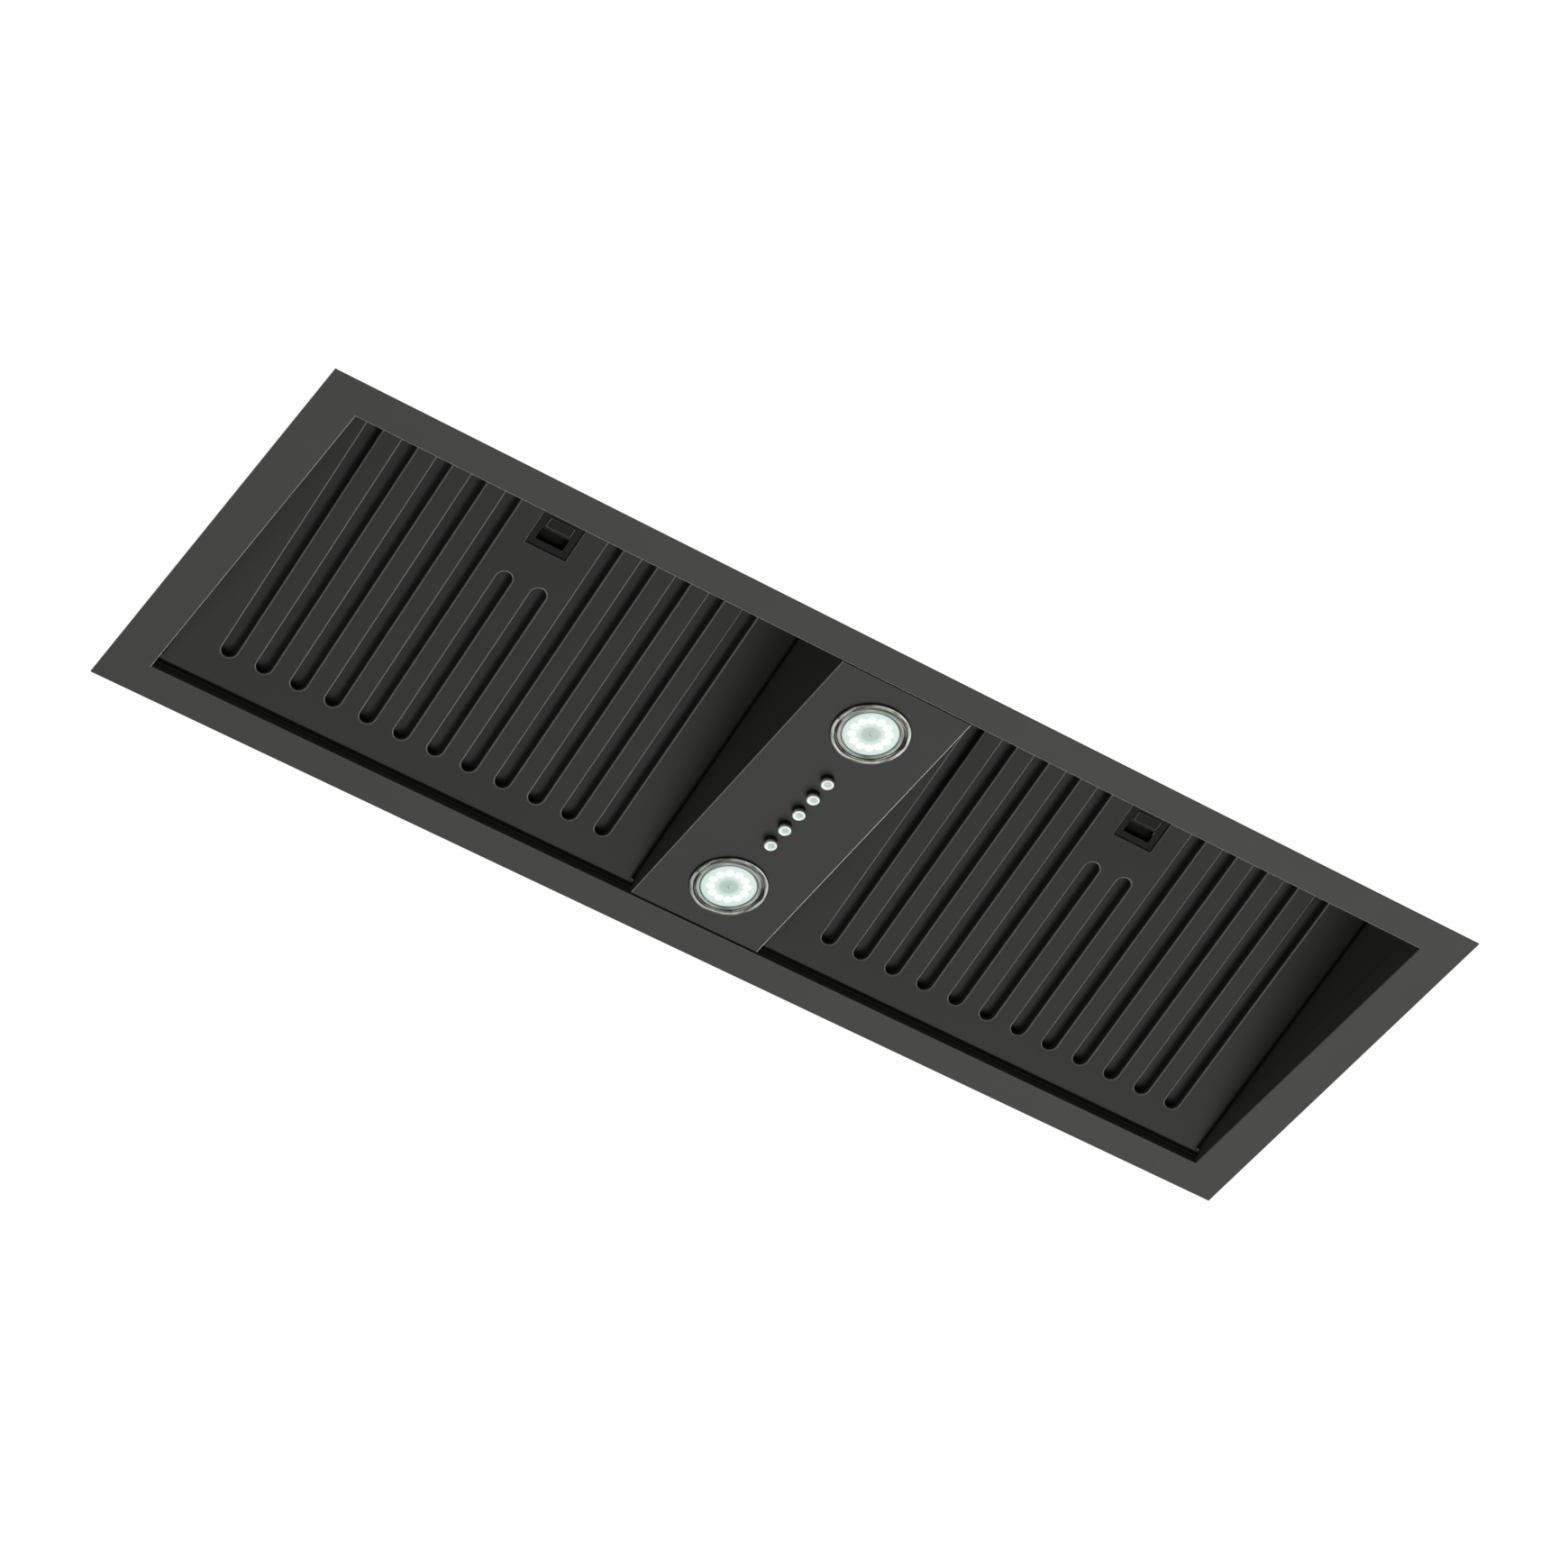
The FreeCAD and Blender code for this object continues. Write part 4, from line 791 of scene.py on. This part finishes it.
def rim_path(inset, corner):
    """The filter's turned-up rim, seen in plan from its left rear end round the front to its right
    rear end."""
    radius = corner - inset
    centre_x = FILTER_HALF - corner
    centre_y = corner - FILTER_LENGTH
    notch = BOLT_HALF + BOLT_GAP
    front = inset - FILTER_LENGTH
    path = [(inset - FILTER_HALF, -RIM_START)]
    path += arc((-centre_x, centre_y), radius, 180, 270, ARC_STEPS)
    path += [(-notch, front), (notch, front)]
    path += arc((centre_x, centre_y), radius, 270, 360, ARC_STEPS)
    return path + [(FILTER_HALF - inset, -RIM_START)]


def bend(radius, low):
    """A quarter bend from a flat sheet up into a wall, as (distance from the wall, height)."""
    turns = [math.pi / 2 * step / ARC_STEPS for step in range(ARC_STEPS + 1)]
    return [(radius - radius * math.sin(turn), low + (radius - radius * math.cos(turn)))
            for turn in turns]


def add_rim(mesh):
    """The rim with its notch for the latch bolt. Gives the row where it leaves the flat plate."""
    profile = bend(RIM_BEND, FACE_LOW)
    rows = [ring(mesh, rim_path(inset, RIM_CORNER), height) for inset, height in profile]
    rows.append(ring(mesh, rim_path(0, RIM_TOP_CORNER), RIM_TOP))
    left_points = ARC_STEPS + 3  # of a row, up to the notch
    for number, (lower, upper) in enumerate(zip(rows, rows[1:])):
        if number > 0 and profile[number][1] < BOLT_TOP:
            bridge(mesh, lower[:left_points], upper[:left_points], closed=False)
            bridge(mesh, lower[left_points:], upper[left_points:], closed=False)
        else:
            bridge(mesh, lower, upper, closed=False)
    return rows[0]


def filter_face(side, sign):
    """The pressed face: flat plate, slots with rolled lips, window for the latch and turned-up
    rim."""
    mesh = bmesh.new()
    edge = add_rim(mesh)
    paint(mesh, 0, SECOND_LOOK)
    ears = [(FILTER_HALF, -RIM_START), (FILTER_HALF, 0),
            (-FILTER_HALF, 0), (-FILTER_HALF, -RIM_START)]
    rings = [edge + ring(mesh, ears, FACE_LOW)]
    lip = bend(LIP_BEND, FACE_LOW) + [(0, LIP_TOP)]
    for number in range(SLOT_COUNT):
        step = number - (SLOT_COUNT - 1) / 2
        end = SHORT_SLOT_END if abs(step) < 1 else SLOT_END
        rings.append(sweep(mesh, obround(step * SLOT_PITCH, SLOT_START, end), lip)[0])
    window = rounded_rect(
        (-WINDOW_HALF, WINDOW_HALF), (-WINDOW_END, -WINDOW_START), WINDOW_CORNER)
    rings.append(sweep(mesh, window, bend(WINDOW_BEND, FACE_LOW) + [(0, WINDOW_TOP)])[0])
    fill(mesh, rings)
    face_outwards(mesh)
    flat = max(mesh.faces, key=lambda face: face.calc_area())
    if flat.normal.z > 0:
        bmesh.ops.reverse_faces(mesh, faces=mesh.faces)
    made = piece(f"{side}_filter_pressed_face", mesh, ["filter_coat", "filter_rim"],
                 f"{side}_filter", [f"{side}_filter_face"], in_cell(sign))
    thicken(made, FACE_SHEET, -1)
    even_shading(made)


def hinge_bead(side, sign):
    """The rolled bead that the filter swings on."""
    mesh = bmesh.new()
    inner = BEAD_RADIUS - BEAD_SOFT
    turned(mesh, [
        (0, -FILTER_HALF), (inner, -FILTER_HALF), (BEAD_RADIUS, BEAD_SOFT - FILTER_HALF),
        (BEAD_RADIUS, FILTER_HALF - BEAD_SOFT), (inner, FILTER_HALF), (0, FILTER_HALF)], BEAD_STEPS)
    face_outwards(mesh)
    along = in_cell(sign) @ Matrix.Rotation(math.radians(90), 4, "Y")
    even_shading(piece(f"{side}_filter_bead", mesh, ["rail_coat"], f"{side}_filter",
                       (), along))


def latch_slide(side, sign):
    """The latch: a plate with a finger hole, an embossed tab, a bolt and two lugs for springs."""
    mesh = bmesh.new()
    outline = square_outline([
        (SLIDE_HALF, -SLIDE_END), (SLIDE_HALF, -SLIDE_START),
        (-SLIDE_HALF, -SLIDE_START), (-SLIDE_HALF, -SLIDE_END),
        (-BOLT_HALF, -SLIDE_END), (-BOLT_HALF, -BOLT_END),
        (BOLT_HALF, -BOLT_END), (BOLT_HALF, -SLIDE_END)])
    finger = rounded_rect(
        (-FINGER_HALF, FINGER_HALF), (-FINGER_END, -FINGER_START), FINGER_CORNER)
    plate(mesh, outline, [finger], (SLIDE_LOW, SLIDE_HIGH), SLIDE_BEVEL)
    for way in (-1, 1):
        across = sorted(way * edge for edge in LUG_X)
        lug = rounded_rect(across, LUG_Y, LUG_CORNER)
        plate(mesh, lug, [], (SLIDE_HIGH - ROOT, LUG_TOP), LUG_BEVEL)
    before_tab = len(mesh.faces)
    tab = rounded_rect((-TAB_HALF, TAB_HALF), (-TAB_END, -TAB_START), TAB_CORNER)
    plate(mesh, tab, [], (TAB_LOW, SLIDE_LOW + ROOT), TAB_BEVEL)
    paint(mesh, before_tab, SECOND_LOOK)
    face_outwards(mesh)
    even_shading(piece(f"{side}_latch_plate", mesh, ["latch_coat", "tab_coat"], f"{side}_latch",
                       [f"{side}_latch_slide"], in_cell(sign)))


def latch_spring(side, sign):
    """Two wave springs that push the latch forward."""
    mesh = bmesh.new()
    steps = SPRING_FOLDS * ARC_STEPS
    length = SPRING_END - SPRING_START
    middle = (SPRING_LOW + LUG_TOP) / 2
    swing = (LUG_TOP - SPRING_LOW - SPRING_SHEET) / 2
    for way in (-1, 1):
        rows = []
        for step in range(steps + 1):
            height = middle - swing * math.cos(math.pi * step / ARC_STEPS)
            along = -SPRING_START - length * step / steps
            rows.append([mesh.verts.new((way * edge, along, height)) for edge in LUG_X])
        for row, after in zip(rows, rows[1:]):
            bridge(mesh, row, after, closed=False)
    face_outwards(mesh)
    cell = in_cell(sign)
    made = piece(f"{side}_latch_wave_spring", mesh, ["spring_steel"], f"{side}_filter",
                 [f"{side}_latch_spring"], cell)
    thicken(made, SPRING_SHEET, 0)
    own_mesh(made)


for side_name, side_sign in (("left", -1), ("right", 1)):
    filter_face(side_name, side_sign)
    hinge_bead(side_name, side_sign)
    latch_slide(side_name, side_sign)
    latch_spring(side_name, side_sign)


# Lamps and buttons


def lamp(name, y):
    """A lamp: turned bezel with a groove, glass with a raised rim, and a circle of LED lenses."""
    bezel = bmesh.new()
    turned(bezel, BEZEL_OUTLINE, closed=True)
    face_outwards(bezel)
    even_shading(piece(f"{name}_lamp_bezel", bezel, ["lamp_ring"], "casing",
                       ["lamp_trims"], at(0, y)))

    glass = bmesh.new()
    turned(glass, GLASS_OUTLINE)
    face_outwards(glass)
    piece(f"{name}_lamp_lens", glass, ["lamp_glass"], "casing", ["lamp_glasses"],
          at(0, y))

    points = bmesh.new()
    for centre in circle(LENS_CIRCLE, LENS_COUNT):
        dome = bmesh.new()
        turned(dome, LENS_OUTLINE, LENS_STEPS)
        join(points, dome, (*centre, 0))
    face_outwards(points)
    piece(f"{name}_lamp_points", points, ["led"], "casing", (), at(0, y))


def button(number):
    """A push button: turned cap with a raised rim and a dished end, retaining plate and stem."""
    mesh = bmesh.new()
    turned(mesh, BUTTON_OUTLINE, BUTTON_STEPS)
    for half, corner, span in BUTTON_BACK:
        plate(mesh, rounded_square(half, corner), [], span, BUTTON_BEVEL)
    face_outwards(mesh)
    y = (number - (BUTTON_COUNT + 1) / 2) * BUTTON_PITCH
    even_shading(piece(f"push_button_{number}", mesh, ["button_metal"], f"button_{number}",
                       [f"button_{number}"], at(0, y)))


lamp("front", -LAMP_Y)
lamp("rear", LAMP_Y)
for button_number in range(1, BUTTON_COUNT + 1):
    button(button_number)


# Screws and cable gland on the top side


def inner_corners(low, high, inset):
    """The X and the Y values of a box's corners, moved inwards."""
    return (low.x + inset, high.x - inset), (low.y + inset, high.y - inset)


def screw_places():
    """Places of the screw heads: on the top plate, the duct plate, the wiring box's lid and the
    scroll's cover."""
    low, high = box_of("top_plate")
    across, along = inner_corners(low, high, CASING_SCREW_INSET)
    places = [(x, y, high.z) for x in across for y in along]
    places += [(x / 2, along[0], high.z) for x in across]
    for plate_name, below, sheet in (("duct_collar", "outlet_box", DUCT_PLATE_SHEET),
                                     ("wiring_box_lid", "wiring_box_lid", 0.0)):
        across, along = inner_corners(*box_of(plate_name), PLATE_SCREW_INSET)
        level = box_of(below)[1].z + sheet
        places += [(x, y, level) for x in across for y in along]
    low, high = box_of("motor_shaft")
    centre = (low + high) / 2
    level = box_of("scroll_cover")[1].z
    return places + [(centre.x + way * SCROLL_SCREW_REACH, centre.y - SCROLL_SCREW_REACH, level)
                     for way in (-1, 1)]


def screws():
    """Hexagon heads with a pressed washer and a chamfered crown."""
    mesh = bmesh.new()
    for place in screw_places():
        head = bmesh.new()
        turned(head, WASHER_OUTLINE, WASHER_STEPS)
        for end in sweep(head, hexagon(CROWN_RADIUS), CROWN_PROFILE):
            fill(head, [end])
        join(mesh, head, place)
    face_outwards(mesh)
    even_shading(piece("hex_screws", mesh, ["steel"], "casing", ["casing_screws"]))


def cable_gland():
    """A gland with a hexagon nut, a ribbed cap and an open bore."""
    mesh = bmesh.new()
    nut = sweep(mesh, hexagon(GLAND_NUT / math.sqrt(3)), NUT_PROFILE)
    cap = sweep(mesh, ribbed_circle(CAP_RADIUS, CAP_RIBS, CAP_RIB_DEPTH), CAP_PROFILE)
    bore = sweep(mesh, ribbed_circle(BORE_RADIUS, CAP_RIBS, 0.0), BORE_PROFILE)
    for rings in ((nut[0], bore[0]), (nut[1], cap[0]), (cap[1], bore[1])):
        fill(mesh, rings)
    face_outwards(mesh)
    low, high = box_of("cable_gland")
    centre = (low + high) / 2
    place = at(high.x, centre.y, centre.z) @ Matrix.Rotation(math.radians(-90), 4, "Y")
    even_shading(piece("ribbed_gland", mesh, ["black_plastic"], "casing",
                       ["cable_gland"], place))


screws()
cable_gland()


# Stage, lights and camera


def seen_directly(tree):
    """1 for camera, glossy and transmission rays, 0 for diffuse light."""
    rays = node(tree, "ShaderNodeLightPath", {}).outputs
    seen = maths(tree, "MAXIMUM", rays["Is Camera Ray"], rays["Is Glossy Ray"])
    return maths(tree, "MAXIMUM", seen, rays["Is Transmission Ray"])


def add_floor():
    """A pale floor that shows as white and keeps the part's shadow."""
    mesh = bmesh.new()
    bmesh.ops.create_grid(mesh, x_segments=1, y_segments=1, size=FLOOR_HALF)
    data = new_mesh("floor", mesh)
    floor = new_object("floor", data)
    floor.location.z = FLOOR_Z
    material, tree, shader = new_material("floor_look", Roughness=0.9, Specular_IOR_Level=0.1)
    pale = blend(tree, noise(tree, FLOOR_CLOUDS, 2.0), even(0.8), even(0.84))
    tree.links.new(pale, shader.inputs["Base Color"])
    shader.inputs["Emission Color"].default_value = (*WHITE, 1)
    glow = maths(tree, "MULTIPLY", seen_directly(tree), FLOOR_GLOW)
    tree.links.new(glow, shader.inputs["Emission Strength"])
    data.materials.append(material)


def add_world():
    """Plain soft light all round, and white to look at."""
    world = bpy.data.worlds.new("studio")
    world.use_nodes = True
    bpy.context.scene.world = world
    tree = world.node_tree
    tree.nodes.clear()
    inputs = {0: seen_directly(tree)}
    for number, strength in enumerate((WORLD_LIGHT, WORLD_WHITE), start=1):
        sky = node(tree, "ShaderNodeBackground", {"Color": (*WHITE, 1), "Strength": strength})
        inputs[number] = sky.outputs[0]
    mixed = node(tree, "ShaderNodeMixShader", inputs)
    node(tree, "ShaderNodeOutputWorld", {"Surface": mixed.outputs[0]})


def aim(made, direction):
    made.rotation_euler = direction.to_track_quat("-Z", "Y").to_euler()


def add_light(name, place, size, power):
    """A soft square lamp that points at the middle of the part."""
    data = bpy.data.lights.new(name, "AREA")
    data.size = size
    data.energy = power
    made = new_object(name, data)
    made.location = place
    made.visible_camera = False
    aim(made, -Vector(place))


def add_camera():
    azimuth = math.radians(CAMERA_AZIMUTH)
    climb = math.radians(CAMERA_CLIMB)
    level = math.cos(climb)
    data = bpy.data.cameras.new("camera")
    data.lens = CAMERA_LENS
    data.sensor_width = CAMERA_SENSOR
    camera = new_object("camera", data)
    camera.location = CAMERA_PLACE
    aim(camera, Vector((math.sin(azimuth) * level, math.cos(azimuth) * level, math.sin(climb))))
    bpy.context.scene.camera = camera


add_floor()
add_world()
for light in LIGHTS:
    add_light(*light)
add_camera()
bpy.context.scene.view_settings.view_transform = "Standard"
